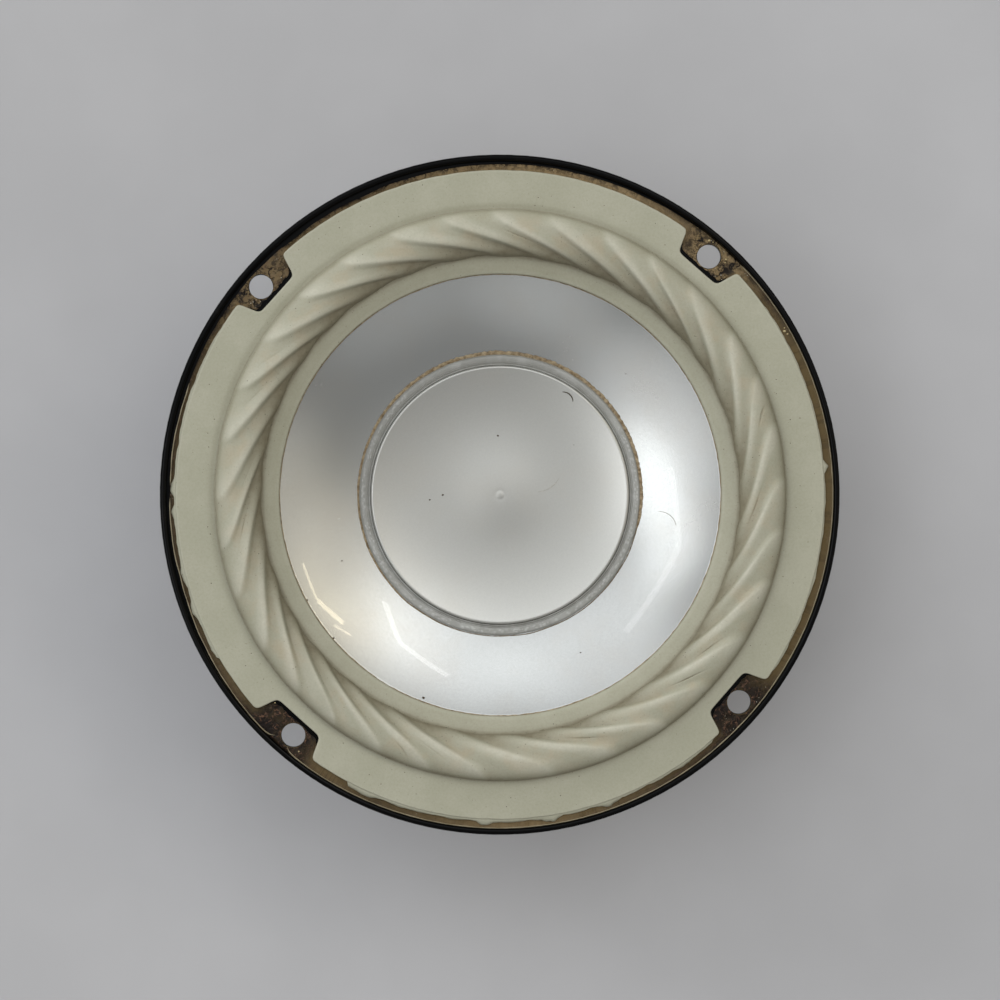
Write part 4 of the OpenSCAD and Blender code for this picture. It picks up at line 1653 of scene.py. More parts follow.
@dataclass
class RimGlue(SubAssembly):
    """The dried glue on the rim, and the thin rubber flash that lies on it."""

    surround: RopeSurround
    hole_r: float = 3.0
    hole_circle_r: float = 77.0
    hole_angles: Floats = (45.0, 135.0, 225.0, 315.0)
    bare_strip: float = 1.1
    columns: int = 1440
    flash_most: float = 1.75
    tones: tuple[GlueTone, ...] = tuple(GlueTone(*row) for row in (
        (8, 1, 0.1, 0.9, 0, 0.6), (26, 1, 0.2, 0.7, 0, 0.65), (38, 0.7, 0.5, 0.4, 0, 0.3),
        (42, 0.9, 0.1, 1, 0, 0.1), (50, 0.8, 0.2, 1, 0, 0.1), (57, 0.3, 0.8, 0.6, 0, 0),
        (64, 0.2, 0.5, 0.3, 0, 0), (68, 0.1, 0, 0, 0, 0), (126, 0.1, 0.1, 0, 0, 0),
        (131, 0.1, 0.9, 0.7, 0, 0), (139, 0.1, 1, 0.7, 0, 0), (147, 0.2, 0.8, 0.4, 0.9, 0),
        (162, 0.4, 0.5, 0.2, 0.8, 0), (178, 0.6, 0.1, 0.1, 0.3, 0), (192, 0.5, 0.3, 0.2, 0.5, 0),
        (206, 0.2, 0.6, 0.3, 0.6, 0), (217, 0.3, 0.2, 0.1, 1, 0), (222, 0.1, 0.9, 0.7, 0.3, 0),
        (231, 0, 1, 0.7, 0.3, 0), (238, 0.3, 0.6, 0.3, 0.7, 0.2), (256, 0.1, 0.9, 0.2, 0.5, 0.7),
        (292, 0.1, 0.8, 0.2, 0.5, 0.8), (306, 0.5, 0.6, 1, 0, 0.7), (315, 0.9, 0.3, 1, 0, 0.6),
        (324, 0.7, 0.6, 0.9, 0, 1.1), (338, 0.6, 0.8, 1, 0, 1.2), (345, 0.8, 0.5, 1, 0, 1),
    ))
    flash_runs: tuple[Floats, ...] = ((58, 127), (143, 212.4), (244, 306))
    flash_places: Floats = (58, 90, 127, 143, 162, 180, 196, 206, 212, 244, 252, 275, 306)
    flash_widths: Floats = (0.2, 0.3, 0.35, 0.55, 0.5, 0.8, 0.75, 0.9, 1.2, 0.35, 0.6, 0.5, 0.3)
    flaps: tuple[Flap, ...] = (
        Flap(88.9, 1.2, 1.1), Flap(109, 2.0, 0.25), Flap(150, 2.2, 0.4), Flap(164.5, 2.4, 0.95),
        Flap(175, 2.0, 1.1), Flap(187, 1.5, 0.8), Flap(246, 3.0, 0.4), Flap(253.4, 1.8, 0.6),
        Flap(260, 2.4, 0.4), Flap(271.2, 1.3, 0.6), Flap(275.4, 1.6, 0.75), Flap(289, 2.0, 0.3),
    )
    # Where the pale line runs, only on the side of the lip that faces the light: start and stop angles, and
    # how far each end hooks in.
    lit_lip_runs: tuple[Floats, ...] = (
        (50, 224.6, 0.0, 1.1),
        (227.4, 273.9, 1.1, 0.0),
        (275.8, 294, 0.0, 0.0),
    )
    drops: tuple[Spot, ...] = (
        Spot(43.2, 80.0, 0.34), Spot(43.9, 80.3, 0.2), Spot(47.6, 79.3, 0.26), Spot(47.9, 78.6, 0.2),
        Spot(63.9, 79.8, 0.38), Spot(64.6, 80.1, 0.26), Spot(63.4, 80.2, 0.2), Spot(218.6, 74.6, 0.26),
        Spot(222.4, 79.2, 0.22), Spot(231.6, 74.4, 0.22),
    )

    def __post_init__(self) -> None:
        """Takes the reach of the film and the rim's height from the frame."""
        film = Span.of("rim_adhesive")
        self.base = film.low
        self.seat = film.high
        self.outer = film.radius + 0.07
        self.inner = self.surround.foot_out + 0.4

    def build(self) -> None:
        """Builds the film, the pale line along the lip with its painted highlight, the flash and the drops.
        """
        self._film()
        self._lip_highlight()
        self._flash()
        self._drops()

    def _tone(self, angle: Array, part: str) -> Array:
        """Returns one of the values that GlueTone names, at each angle in radians."""
        places, values = zip(*((tone.angle, getattr(tone, part)) for tone in self.tones))
        return np.interp(np.degrees(angle) % 360, places, values, period=360)

    def _film_edge(self, angle: Array) -> Array:
        """Returns the radius of the film's outer edge at each angle."""
        bare = self._tone(angle, "bare")
        return self.outer - bare * (1 + 0.16 * ripple(angle, 36, 12, 60))

    def _film(self) -> None:
        """Builds the film, open at the screw holes, with its tones stored on it."""
        notch = self.surround.notch
        angle = circle(self.columns)
        edge = notch.edge(angle, self.surround.edge)
        inside = notch.share(angle, self.surround.edge)
        ragged = self.bare_strip + 0.25 * ripple(angle, 31, 24, 260)
        start = np.where(inside > 0.55, edge + ragged, self.inner + 0 * angle)
        shown = np.maximum(edge + 0.03, start + 0.02)
        outer = self._film_edge(angle)
        against_lip = np.clip(1 - self._tone(angle, "bare") / 0.3, 0, 1)
        rough = np.clip(self._tone(angle, "veins") + self._tone(angle, "dirt"), 0.15, 1.2)
        share = np.linspace(0, 1, 24)[:, None]
        lump = 0.07 + 0.05 * rough * ripple(angle + 0.4 * share, 33, 12, 180)
        fillet = 0.34 * against_lip * np.exp(-(1 - share) / 0.09) * (1 - 0.7 * inside)
        crackle = 0.035 * rough * ripple(angle + 3.1 * share, 35, 20, 420)
        skin = np.maximum(lump + fillet + crackle, 0.02) * np.where(share < 1, 1, 0.5)
        base, seat = self.base + 0 * angle, self.seat + 0 * angle
        radius = np.vstack([start, start, (start + shown) / 2, shown + (outer - shown) * share, outer])
        height = np.vstack([base, seat, seat, self.seat + skin, base])
        film = Lathe(radius, height, angle).piece("rim_glue_film", RIM_GLUE)
        across = np.vstack([[[0.0]] * 3, share, 1.0])
        towards_lip = inside + (1 - inside) * (0.25 + 0.75 * across)
        store(film, "tan", self._tone(angle, "tan") * np.ones_like(towards_lip))
        for part in ("dirt", "veins", "stripes"):
            store(film, part, self._tone(angle, part) * towards_lip)
        for centre in self.hole_angles:
            cut(film, self._cutter(math.radians(centre)))
        settle(film, FIXED, ["rim_adhesive"])

    def _cutter(self, angle: float) -> Piece:
        """Makes a slightly ragged plug that cuts the film at a screw hole.

        Args:
            angle: Where the hole is, in radians.

        Returns:
            The plug.
        """
        sides = 48
        turn = circle(sides)
        reach = self.hole_r + 0.1 * ripple(turn, int(angle * 100), 6, 9)
        x = self.hole_circle_r * math.sin(angle) + reach * np.cos(turn)
        y = self.hole_circle_r * math.cos(angle) + reach * np.sin(turn)
        low = np.stack([x, y, np.full(sides, self.base - 1)], -1)
        high = np.stack([x, y, np.full(sides, self.base + 3)], -1)
        faces = [np.arange(sides)[::-1], np.arange(sides, 2 * sides), *quads(2, sides)]
        return add_piece("bore_cutter", np.concatenate([low, high]), faces, RIM_GLUE)

    def _lip_highlight(self) -> None:
        """Builds the thin pale line of glue along the lip, hooked in beside a screw hole; it runs only on
        the side that faces the light, and its paleness is a painted highlight.
        """
        parts = []
        for start, stop, hook_first, hook_last in self.lit_lip_runs:
            angle = np.radians(np.arange(start, stop, 0.25))
            share = np.linspace(0, 1, len(angle))
            from_first = np.degrees(angle) - start
            from_last = stop - np.degrees(angle)
            hook = hook_first * np.exp(-from_first / 0.7) + hook_last * np.exp(-from_last / 0.7)
            lying = np.clip(self._tone(angle, "bare") / 0.4, 0, 1)
            radius = self._film_edge(angle) - 0.02 - hook + 0.03 * ripple(angle, 51, 12, 90)
            height = self.seat + 0.4 - 0.28 * lying + 0.06 * ripple(angle, 52, 9, 40)
            thick = np.clip(0.12 + 0.03 * ripple(angle, 53, 12, 120), 0.06, 0.18)
            thick = thick * np.clip(np.minimum(share, 1 - share) * len(angle) / 4, 0.3, 1)
            parts.append(tube(placed(radius, angle, height), thick[:, None], 6))
        settle(join_meshes("lip_glue_highlight", parts, LIP_HIGHLIGHT_GLUE), FIXED)

    def _flash(self) -> None:
        """Builds the scalloped skirt of thin rubber along the flange's edge."""
        parts = []
        for start, stop in self.flash_runs:
            angle = np.radians(np.arange(start, stop, 0.12))
            width = np.interp(np.degrees(angle), self.flash_places, self.flash_widths)
            width = width * (1 + 0.3 * ripple(angle, 41, 10, 70)) + 0.07 * ripple(angle, 42, 12, 260)
            for flap in self.flaps:
                away = abs(np.degrees(angle) - flap.angle) / flap.half
                tongue = np.clip(1 - away**1.4, 0, 1) * (1 + 0.2 * ripple(angle, 45, 6, 300))
                width = width + flap.reach * tongue
            to_end = np.minimum(np.degrees(angle) - start, stop - np.degrees(angle))
            width = np.clip(width * np.clip(to_end / 0.5, 0.02, 1), 0.03, self.flash_most)
            first = self.surround.edge - 0.05 + 0 * angle
            low = self.seat + 0.02 + 0 * angle
            high = self.surround.top_out - 0.3 + 0.04 * ripple(angle, 43, 8, 50)
            middle = high - 0.25 * np.clip(width, 0, 1)
            tip = self.seat + 0.42 + 0.05 * ripple(angle, 44, 9, 90)
            tip = np.maximum(tip, middle - 0.2 - 0.3 * width)
            ring = (
                (first, low),
                (first, high),
                (first + 0.3 * width, high - 0.04),
                (first + 0.75 * width, middle),
                (first + width - 0.06, tip),
                (first + width, tip - 0.1),
                (first + width - 0.08, low),
            )
            parts.append(sweep(np.stack([placed(r, angle, z) for r, z in ring], axis=1)))
        settle(join_meshes("flange_flash", parts, GREY_RUBBER), FIXED)

    def _drops(self) -> None:
        """Builds the small hard drops of glue near the screw holes."""
        drops = [spot.lump(self.seat + 0.15, 0.6, 0.08, 14, 8) for spot in self.drops]
        settle(join_meshes("glue_drops", drops, DROP_GLUE), FIXED)


@dataclass
class ConeAssembly(SubAssembly):
    """The cone, the dust cap and the glue between them."""

    surround: RopeSurround
    dish_depth: float = 8.0
    dish_slope: float = 11.0
    edge_rise: float = 0.65
    neck_depth: float = 5.6
    cone_t: float = 0.9
    cap_dish: float = 2.0
    cap_centre_h: float = 0.5
    cap_centre_r: float = 13.5
    cap_edge_r: float = 0.5
    cap_t: float = 0.7
    bead_w: float = 2.8
    bead_places: Floats = (0.0, 0.06, 0.14, 0.2, 0.28, 0.34, 0.42, 0.6, 0.8, 0.9, 1.0)
    bead_heights: Floats = (1.2, 1.35, 1.3, 1.05, 1.15, 0.95, 1.0, 0.9, 0.66, 0.4, 0.05)
    # Dark lines painted as shade in the bead's grooves and at its feet: place, width and darkness of each.
    shade_lines: tuple[Floats, ...] = (
        (0.02, 0.035, 1.0), (0.2, 0.03, 0.8), (0.34, 0.02, 0.4), (0.9, 0.03, 0.7), (1.0, 0.03, 0.5),
    )
    bubbles: int = 260
    browned_places: Floats = (0, 30, 70, 104, 108, 200, 250, 290, 330)
    browned: Floats = (1.0, 0.95, 0.8, 0.7, 0.08, 0.05, 0.3, 0.45, 0.8)

    def __post_init__(self) -> None:
        """Takes the radii and heights that carry the rest from the frame."""
        cone, cap = Span.of("cone"), Span.of("dust_cap")
        self.cone_r = cone.radius
        self.cone_top = cone.high
        self.neck_r = Span.of("coil_collar").radius + 0.03
        self.cap_r = cap.radius
        self.crest = cap.high
        self.crest_r = self.cap_r - self.cap_edge_r
        self.seat_r = self.cap_r - 1.0
        self.dish_r = self.surround.inner_edge
        self.low = self.cone_top - self.edge_rise - self.dish_depth

    def dish(self, radius: Numbers) -> Numbers:
        """Gives the height of the cone's front.

        Args:
            radius: Where, in millimetres.

        Returns:
            The height there.
        """
        run = self.dish_r - self.seat_r
        lean = math.tan(math.radians(self.dish_slope))
        curve = (self.dish_depth - lean * run) / run**2
        away = radius - self.seat_r
        return self.low + lean * away + curve * away * away

    def cap(self, radius: Numbers) -> Array:
        """Gives the height of the cap's face.

        Args:
            radius: Where, in millimetres.

        Returns:
            The height there.
        """
        low = self.crest - self.cap_dish
        bump = self.cap_centre_h * (1 + np.cos(math.pi * radius / self.cap_centre_r)) / 2
        rise = self.cap_dish * ((radius - self.cap_centre_r) / (self.crest_r - self.cap_centre_r)) ** 2
        gate = 0.05 * np.exp(-((radius / 0.7) ** 4)) - 0.025 * np.exp(-(((radius - 1.2) / 0.35) ** 2))
        return low + np.where(radius < self.cap_centre_r, bump, rise) + gate

    def build(self) -> None:
        """Builds the cone, the cap, the clear bead, the brown line and the seam."""
        self._cone()
        self._cap()
        self._bead()
        self._line()
        self._seam()

    def _cone(self) -> None:
        """Builds the cone as one smooth turned shell."""
        neck = self.seat_r - self.neck_r
        top = [(self.neck_r + neck * s, self.low - self.neck_depth * (1 - s)) for s in (0.0, 0.5, 0.95)]
        top += [(r, self.dish(r)) for r in np.linspace(self.seat_r + 0.3, self.dish_r, 52)]
        top += [(self.dish_r + 0.25, self.dish(self.dish_r) + 0.08), (self.cone_r, self.cone_top)]
        under = [(r, z - self.cone_t) for r, z in reversed(top)]
        piece = Lathe.plain(top + under, 288).piece("lacquered_cone", CONE_LACQUER)
        settle(piece, MOVING, ["cone"])

    def _cap(self) -> None:
        """Builds the cap, its gate mark and its narrow rounded edge."""
        gate = [0.02, 0.3, 0.5, 0.7, 0.85, 1.0, 1.15, 1.3, 1.5, 1.8, 2.4]
        radii = np.concatenate([gate, np.linspace(3.2, self.crest_r - 0.3, 56)])
        top = list(zip(radii, self.cap(radii)))
        top += arc((self.crest_r, self.crest - self.cap_edge_r), self.cap_edge_r, 96, 0, 10)
        inner, foot = self.cap_r - self.cap_t, self.dish(self.cap_r) + 0.03
        under = [(self.cap_r, foot), (inner, foot), (inner, self.crest - self.cap_t - 0.25)]
        radii = np.linspace(inner - 0.3, 0.02, 30)
        under += zip(radii, self.cap(np.maximum(radii, 3.0)) - self.cap_t)
        piece = Lathe.plain(top + under, 288).piece("lacquered_dust_cap", CAP_LACQUER)
        settle(piece, MOVING, ["dust_cap"])

    def _bead(self) -> None:
        """Builds the clear bead, with grooves by the cap, bubbles in its outer half, and painted shade in
        its grooves, at its feet and over its top left.
        """
        angle = circle(1080)
        start = self.cap_r + 0.06
        shares = np.concatenate([np.linspace(0.0, 0.44, 23), np.linspace(0.48, 1.0, 16)])
        across = start + self.bead_w * shares
        # Sets the painted shade by angle: the lines are strongest on the bottom right, and the bead is
        # darkened all over on the top left.
        turned_from_top_left = 0.4 + 0.6 * np.clip(0.5 - 0.8 * np.cos(angle - math.radians(330)), 0, 1)
        rng = np.random.default_rng(71)
        height = np.interp(shares, self.bead_places, self.bead_heights)[:, None]
        height = height + 0.05 * ripple(angle, 72, 12, 60)
        bubble = np.zeros_like(height)
        for _ in range(self.bubbles):
            centre = math.radians(rng.uniform(60, 320))
            middle, size = rng.normal(0.64, 0.09), rng.uniform(0.12, 0.36)
            away = (angle - centre + math.pi) % math.tau - math.pi
            gap = np.hypot(away * across[:, None] * 0.7, (shares[:, None] - middle) * self.bead_w)
            bubble = np.maximum(bubble, np.sqrt(np.clip(1 - (gap / size) ** 2, 0, 1)))
        height += 0.1 * bubble
        # Painted shade: dark lines in the grooves by the cap and at the feet, and a darker top left.
        bead_shade = sum(deep * np.exp(-(((shares - place) / wide) ** 2)) for place, wide, deep in self.shade_lines)
        painted_darkening = 0.5 * (1 - turned_from_top_left) * ((shares > 0.1) & (shares < 0.95))[:, None]
        bead_shade = np.clip(bead_shade[:, None] * turned_from_top_left + painted_darkening, 0, 1)
        floor = self.dish(across)[:, None] + 0.03
        top_r = across[:, None] + 0 * angle
        top_z = floor + 0.02 + np.clip(height, 0.02, 1.5)
        radius = np.concatenate([top_r, top_r[::-1]])
        level = np.concatenate([top_z, (floor + 0 * angle)[::-1]])
        piece = Lathe(radius, level, angle).piece("clear_glue_bead", CLEAR_GLUE)
        for name, values in (("bubble", bubble), ("bead_shade", bead_shade)):
            store(piece, name, np.concatenate([values, 0 * values]))
        settle(piece, MOVING, ["cap_glue_bead"])

    def _ridge(self, middle: Array, half: Array, rise: Numbers, foot: float, steps: int) -> Lathe:
        """Shapes a half-round ridge of glue that lies on the cone all round.

        Args:
            middle: The ridge's radius at each angle, in millimetres.
            half: Half its width at each angle.
            rise: How high it stands at each angle.
            foot: How far its underside lies over the cone.
            steps: How many faces go over it.

        Returns:
            The ridge.
        """
        turns = np.radians(np.linspace(180, 0, steps + 1))
        rows_r = [middle + half * math.cos(turn) for turn in turns]
        rows_z = [self.dish(r) + 0.04 + rise * math.sin(turn) for r, turn in zip(rows_r, turns)]
        level = np.array([*rows_z, self.dish(middle) + foot])
        return Lathe(np.array([*rows_r, middle]), level, circle(len(middle)))

    def _line(self) -> None:
        """Builds the line of old glue round the clear bead: brown, and dark at the bottom."""
        angle = circle(1080)
        browned = np.interp(np.degrees(angle), self.browned_places, self.browned, period=360)
        middle = self.cap_r + self.bead_w + 0.25 + 0.06 * ripple(angle, 81, 10, 30)
        half = np.clip((0.08 + 0.5 * browned) * (1 + 0.22 * ripple(angle, 82, 22, 190)), 0.07, 0.8)
        line = self._ridge(middle, half, 0.12 + 0.16 * browned, 0.01, 8)
        piece = line.piece("brown_glue_line", LINE_GLUE)
        store(piece, "dirt", np.clip(0.75 - 3 * browned, 0, 1) * np.ones_like(line.radius))
        settle(piece, MOVING, ["cap_glue_line"])

    def _seam(self) -> None:
        """Builds the thin line of glue where the surround lies on the cone."""
        angle = circle(900)
        middle = self.dish_r + 0.02 + 0.03 * ripple(angle, 91, 12, 80)
        half = np.clip(0.16 + 0.05 * ripple(angle, 92, 16, 150), 0.07, 0.34)
        seam = self._ridge(middle, half, 0.12, -0.02, 4)
        settle(seam.piece("surround_glue_seam", LINE_GLUE), MOVING)


@dataclass
class VoiceCoil(SubAssembly):
    """The former with its winding, its paper collar and its glue."""

    kept: ClassVar[Mapping[str, Finish]] = {
        "voice_coil_former": FORMER_FILM,
        "coil_collar": COLLAR_PAPER,
        "neck_glue": BLACK_GLUE,
        "coil_solder_joints": SOLDER,
    }
    wire: float = 0.4
    former_r: float = 19.6

    def build(self) -> None:
        """Builds the winding turn by turn."""
        span = Span.of("coil_winding")
        turns = int((span.high - span.low) / self.wire)
        pitch = (span.high - span.low) / turns
        wire = ((0.18, 0.46), (0.04, 0.26), (0.0, 0.0), (0.04, -0.26))
        outline = [(self.former_r + 0.02, span.low), (self.former_r + 0.02, span.high)]
        for i in range(turns):
            z = span.high - pitch * (i + 0.5)
            outline += [(span.radius - sunk, z + pitch * up) for sunk, up in wire]
        outline.append((span.radius - 0.18, span.low + 0.01))
        piece = Lathe.plain(outline, 160).piece("wound_coil", COIL_COPPER)
        settle(piece, MOVING, ["coil_winding"])


@dataclass
class SpiderCloth(SubAssembly):
    """The corrugated cloth that centres the coil, and its ring of glue."""

    kept: ClassVar[Mapping[str, Finish]] = {"spider_adhesive": CLOTH_GLUE}
    corrugations: int = 5
    amplitude: float = 1.6
    cloth_t: float = 0.5
    flange_w: float = 4.6
    neck_h: float = 1.8

    def build(self) -> None:
        """Builds the cloth as a turned wave with a faint pull between its threads."""
        span = Span.of("spider")
        middle = span.low + self.amplitude + self.cloth_t / 2
        neck = Span.of("coil_collar").radius + 0.03
        start, end = neck + 1.2, span.radius - self.flange_w
        share = np.linspace(0, 1, self.corrugations * 12 + 1)
        wave = middle - self.amplitude * np.sin(math.tau * self.corrugations * share)
        line = [(neck + 0.6, middle + 0.35)]
        line += [(start + (end - start) * s, z) for s, z in zip(share, wave)]
        line += [(end + 0.6, middle), (span.radius, middle)]
        half = self.cloth_t / 2
        outline = [(neck, middle + self.neck_h), (neck + 0.45, middle + self.neck_h)]
        outline += [(r, z + half) for r, z in line]
        outline += [(r, z - half) for r, z in reversed(line[1:])]
        outline.append((neck, middle - half))
        lathe = Lathe.plain(outline, 300)
        pull = 0.05 * np.sin(4 * lathe.angle) * np.sin(lathe.radius * 1.3)
        lathe.height = lathe.height + np.where(lathe.radius < end, pull, 0)
        piece = lathe.piece("spider_cloth", SPIDER_CLOTH)
        flex_by_radius(piece, neck + 0.8, end)
        settle(piece, None, ["spider"])


@dataclass
class Terminals(SubAssembly):
    """The board, its blades and rivets, and the two braided leads."""

    kept: ClassVar[Mapping[str, Finish]] = {
        "terminal_board": BOARD_LAMINATE,
        "terminal_tab_positive": BLADE_BRASS,
        "terminal_tab_negative": BLADE_BRASS,
        "terminal_rivets": RIVET_STEEL,
        "terminal_solder_joints": SOLDER,
    }
    lead_d: float = 1.6
    arch: float = 1.2
    strands: int = 8
    twist_length: float = 5.0

    def build(self) -> None:
        """Builds the leads and the polarity dot."""
        self._lead("tinsel_lead_positive", 1.0)
        self._lead("tinsel_lead_negative", -1.0)
        self._dot()

    def _lead(self, node: str, side: float) -> None:
        """Builds a braided lead between its two solder joints.

        Args:
            node: The CAD node that it stands for.
            side: 1 on the positive side and -1 on the other.
        """
        low, high = box_mm(node)
        coil_low, coil_high = box_mm("coil_solder_joints")
        _, tab_high = box_mm("terminal_tab_positive")
        radius = self.lead_d / 2
        near, far = sorted((abs(low[0]), abs(high[0])))
        start = np.array((near + radius, high[1], (coil_low[2] + coil_high[2]) / 2))
        end = np.array((far - radius, low[1], tab_high[2] + radius + 0.05))
        share = np.linspace(0, 1, 150)
        eased = share * share * (3 - 2 * share)
        path = start + (end - start) * np.stack([eased, share, eased], -1)
        path[:, 0] *= side
        path[:, 2] += self.arch * np.sin(math.pi * share) ** 2
        length = float(np.linalg.norm(np.diff(path, axis=0), axis=1).sum())
        sides = 24
        turn, lay = circle(sides), share[:, None] * math.tau * length / self.twist_length
        one = abs(np.sin(self.strands / 2 * (turn + lay)))
        other = abs(np.sin(self.strands / 2 * (turn - lay)))
        points, faces = tube(path, radius * (0.86 + 0.14 * np.maximum(one, other)), sides)
        piece = add_piece(node.replace("tinsel", "braided"), points, faces, TINSEL)
        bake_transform(piece)
        settle(piece, None, [node])

    def _dot(self) -> None:
        """Builds the red paint dot that marks the positive terminal."""
        low, high = box_mm("terminal_board")
        points, faces = blob(20, 10, 101, 0.06)
        points = points * (0.8, 0.7, 0.12) + (high[0] - 2.1, low[1] + 1.2, high[2] + 0.02)
        piece = add_piece("polarity_dot", points, faces, RED_PAINT)
        settle(piece, FIXED)


class Motor(SubAssembly):
    """The basket with its rivets, the plates, the ferrite ring and their glue."""

    kept: ClassVar[Mapping[str, Finish]] = {
        "basket": BLACK_ENAMEL,
        "basket_rivets": RIVET_STEEL,
        "top_plate": ZINC_PLATE,
        "t_yoke": ZINC_PLATE,
        "magnet": FERRITE,
        "magnet_front_adhesive": BLACK_GLUE,
        "magnet_rear_adhesive": BLACK_GLUE,
    }


@dataclass
class Dirt(SubAssembly):
    """Grains, a curved hair and lint on the cone, the cap and the rubber."""

    cone: ConeAssembly
    surround: RopeSurround
    cap_specks: tuple[Spot, ...] = (
        Spot(2, 14.6, 0.28), Spot(270, 17.3, 0.24), Spot(274, 14.1, 0.28), Spot(60, 22.0, 0.12),
    )
    cone_specks: tuple[Spot, ...] = (
        Spot(205, 52.9, 0.4), Spot(157, 43.5, 0.2), Spot(251.5, 42.1, 0.2), Spot(50, 42.9, 0.16),
        Spot(245.7, 53.6, 0.26), Spot(233.6, 53.6, 0.3), Spot(303, 43.2, 0.14), Spot(30, 47.5, 0.1),
    )
    loose_grains: int = 70
    flange_band: Floats = (70.5, 76.5)

    def build(self) -> None:
        """Builds the grains on the moving parts, those on the rubber, and the hairs."""
        moving = [self._grain(speck, self.cone.cap(speck.radius)) for speck in self.cap_specks]
        moving += [self._grain(speck, self.cone.dish(speck.radius)) for speck in self.cone_specks]
        settle(join_meshes("cone_grit", moving, DARK_GRIT), MOVING)
        rng = np.random.default_rng(111)
        fixed = []
        for _ in range(self.loose_grains):
            speck = Spot(rng.uniform(0, 360), rng.uniform(*self.flange_band), rng.uniform(0.05, 0.15))
            angle = np.radians([speck.angle])
            if self.surround.notch.share(angle, self.surround.edge)[0] < 0.02:
                fixed.append(self._grain(speck, self.surround.top_out))
        settle(join_meshes("flange_grit", fixed, DARK_GRIT), FIXED)
        self._hairs()

    @staticmethod
    def _grain(speck: Spot, height: float) -> Solid:
        """Makes one grain, which lies on a surface of this height."""
        return speck.lump(height, 0.45, 0.16, 8, 4, seed=7)

    def _hairs(self) -> None:
        """Builds a curved hair and a faint thread on the cap, and a thread on the cone."""
        for name, angle, radius, curl, length, thick, finish in (
            ("cap_hair", 35.2, 29.6, 2.4, 3.9, 0.13, DARK_GRIT),
            ("cap_thread", 89.5, 9.4, -6.5, 6.6, 0.05, PALE_LINT),
            ("cone_thread", 100.0, 39.2, 4.0, 6.0, 0.07, PALE_LINT),
        ):
            turn = math.radians(angle)
            share = np.linspace(0, length / curl, 24)
            x = radius * math.sin(turn) + curl * np.sin(share)
            y = radius * math.cos(turn) + curl * (np.cos(share) - 1)
            away = np.hypot(x, y)
            ground = self.cone.cap(away) if away.max() < self.cone.cap_r - 1 else self.cone.dish(away)
            path = np.stack([x, y, ground + thick], -1)
            along = np.linspace(0, 1, len(path))[:, None]
            points, faces = tube(path, thick * (0.5 + 2 * along * (1 - along)), 6)
            settle(add_piece(name, points, faces, finish), MOVING)


# ---- studio


@dataclass(frozen=True)
class Softbox:
    """A lamp of the studio.

    Attributes:
        name: Its name.
        angle: Where it hangs, clockwise from the view's top, in degrees.
        height: How high it hangs above the floor, as an angle in degrees.
        away: How far it hangs from the driver, in metres.
        width: Its width in metres, level with the driver.
        tall: Its other side in metres.
        power: Its power in watts.
        colour: The colour of its light.
        turn: How far it is turned in its own plane, in degrees.
    """

    name: str
    angle: float
    height: float
    away: float
    width: float
    tall: float
    power: float
    colour: Colour = (1.0, 1.0, 1.0)
    turn: float = 0.0


@dataclass(frozen=True)
class Glow:
    """A broad soft brightening of the room, as a lit wall or ceiling gives.

    Attributes:
        angle: Where its middle is, clockwise from the view's top, in degrees.
        height: How high its middle is above the floor, as an angle in degrees.
        spread: How far it reaches from its middle, in degrees.
        strength: How bright its middle is.
        sheen: How much of it a mirror shows.
    """

    angle: float
    height: float
    spread: float
    strength: float
    sheen: float = 1.0


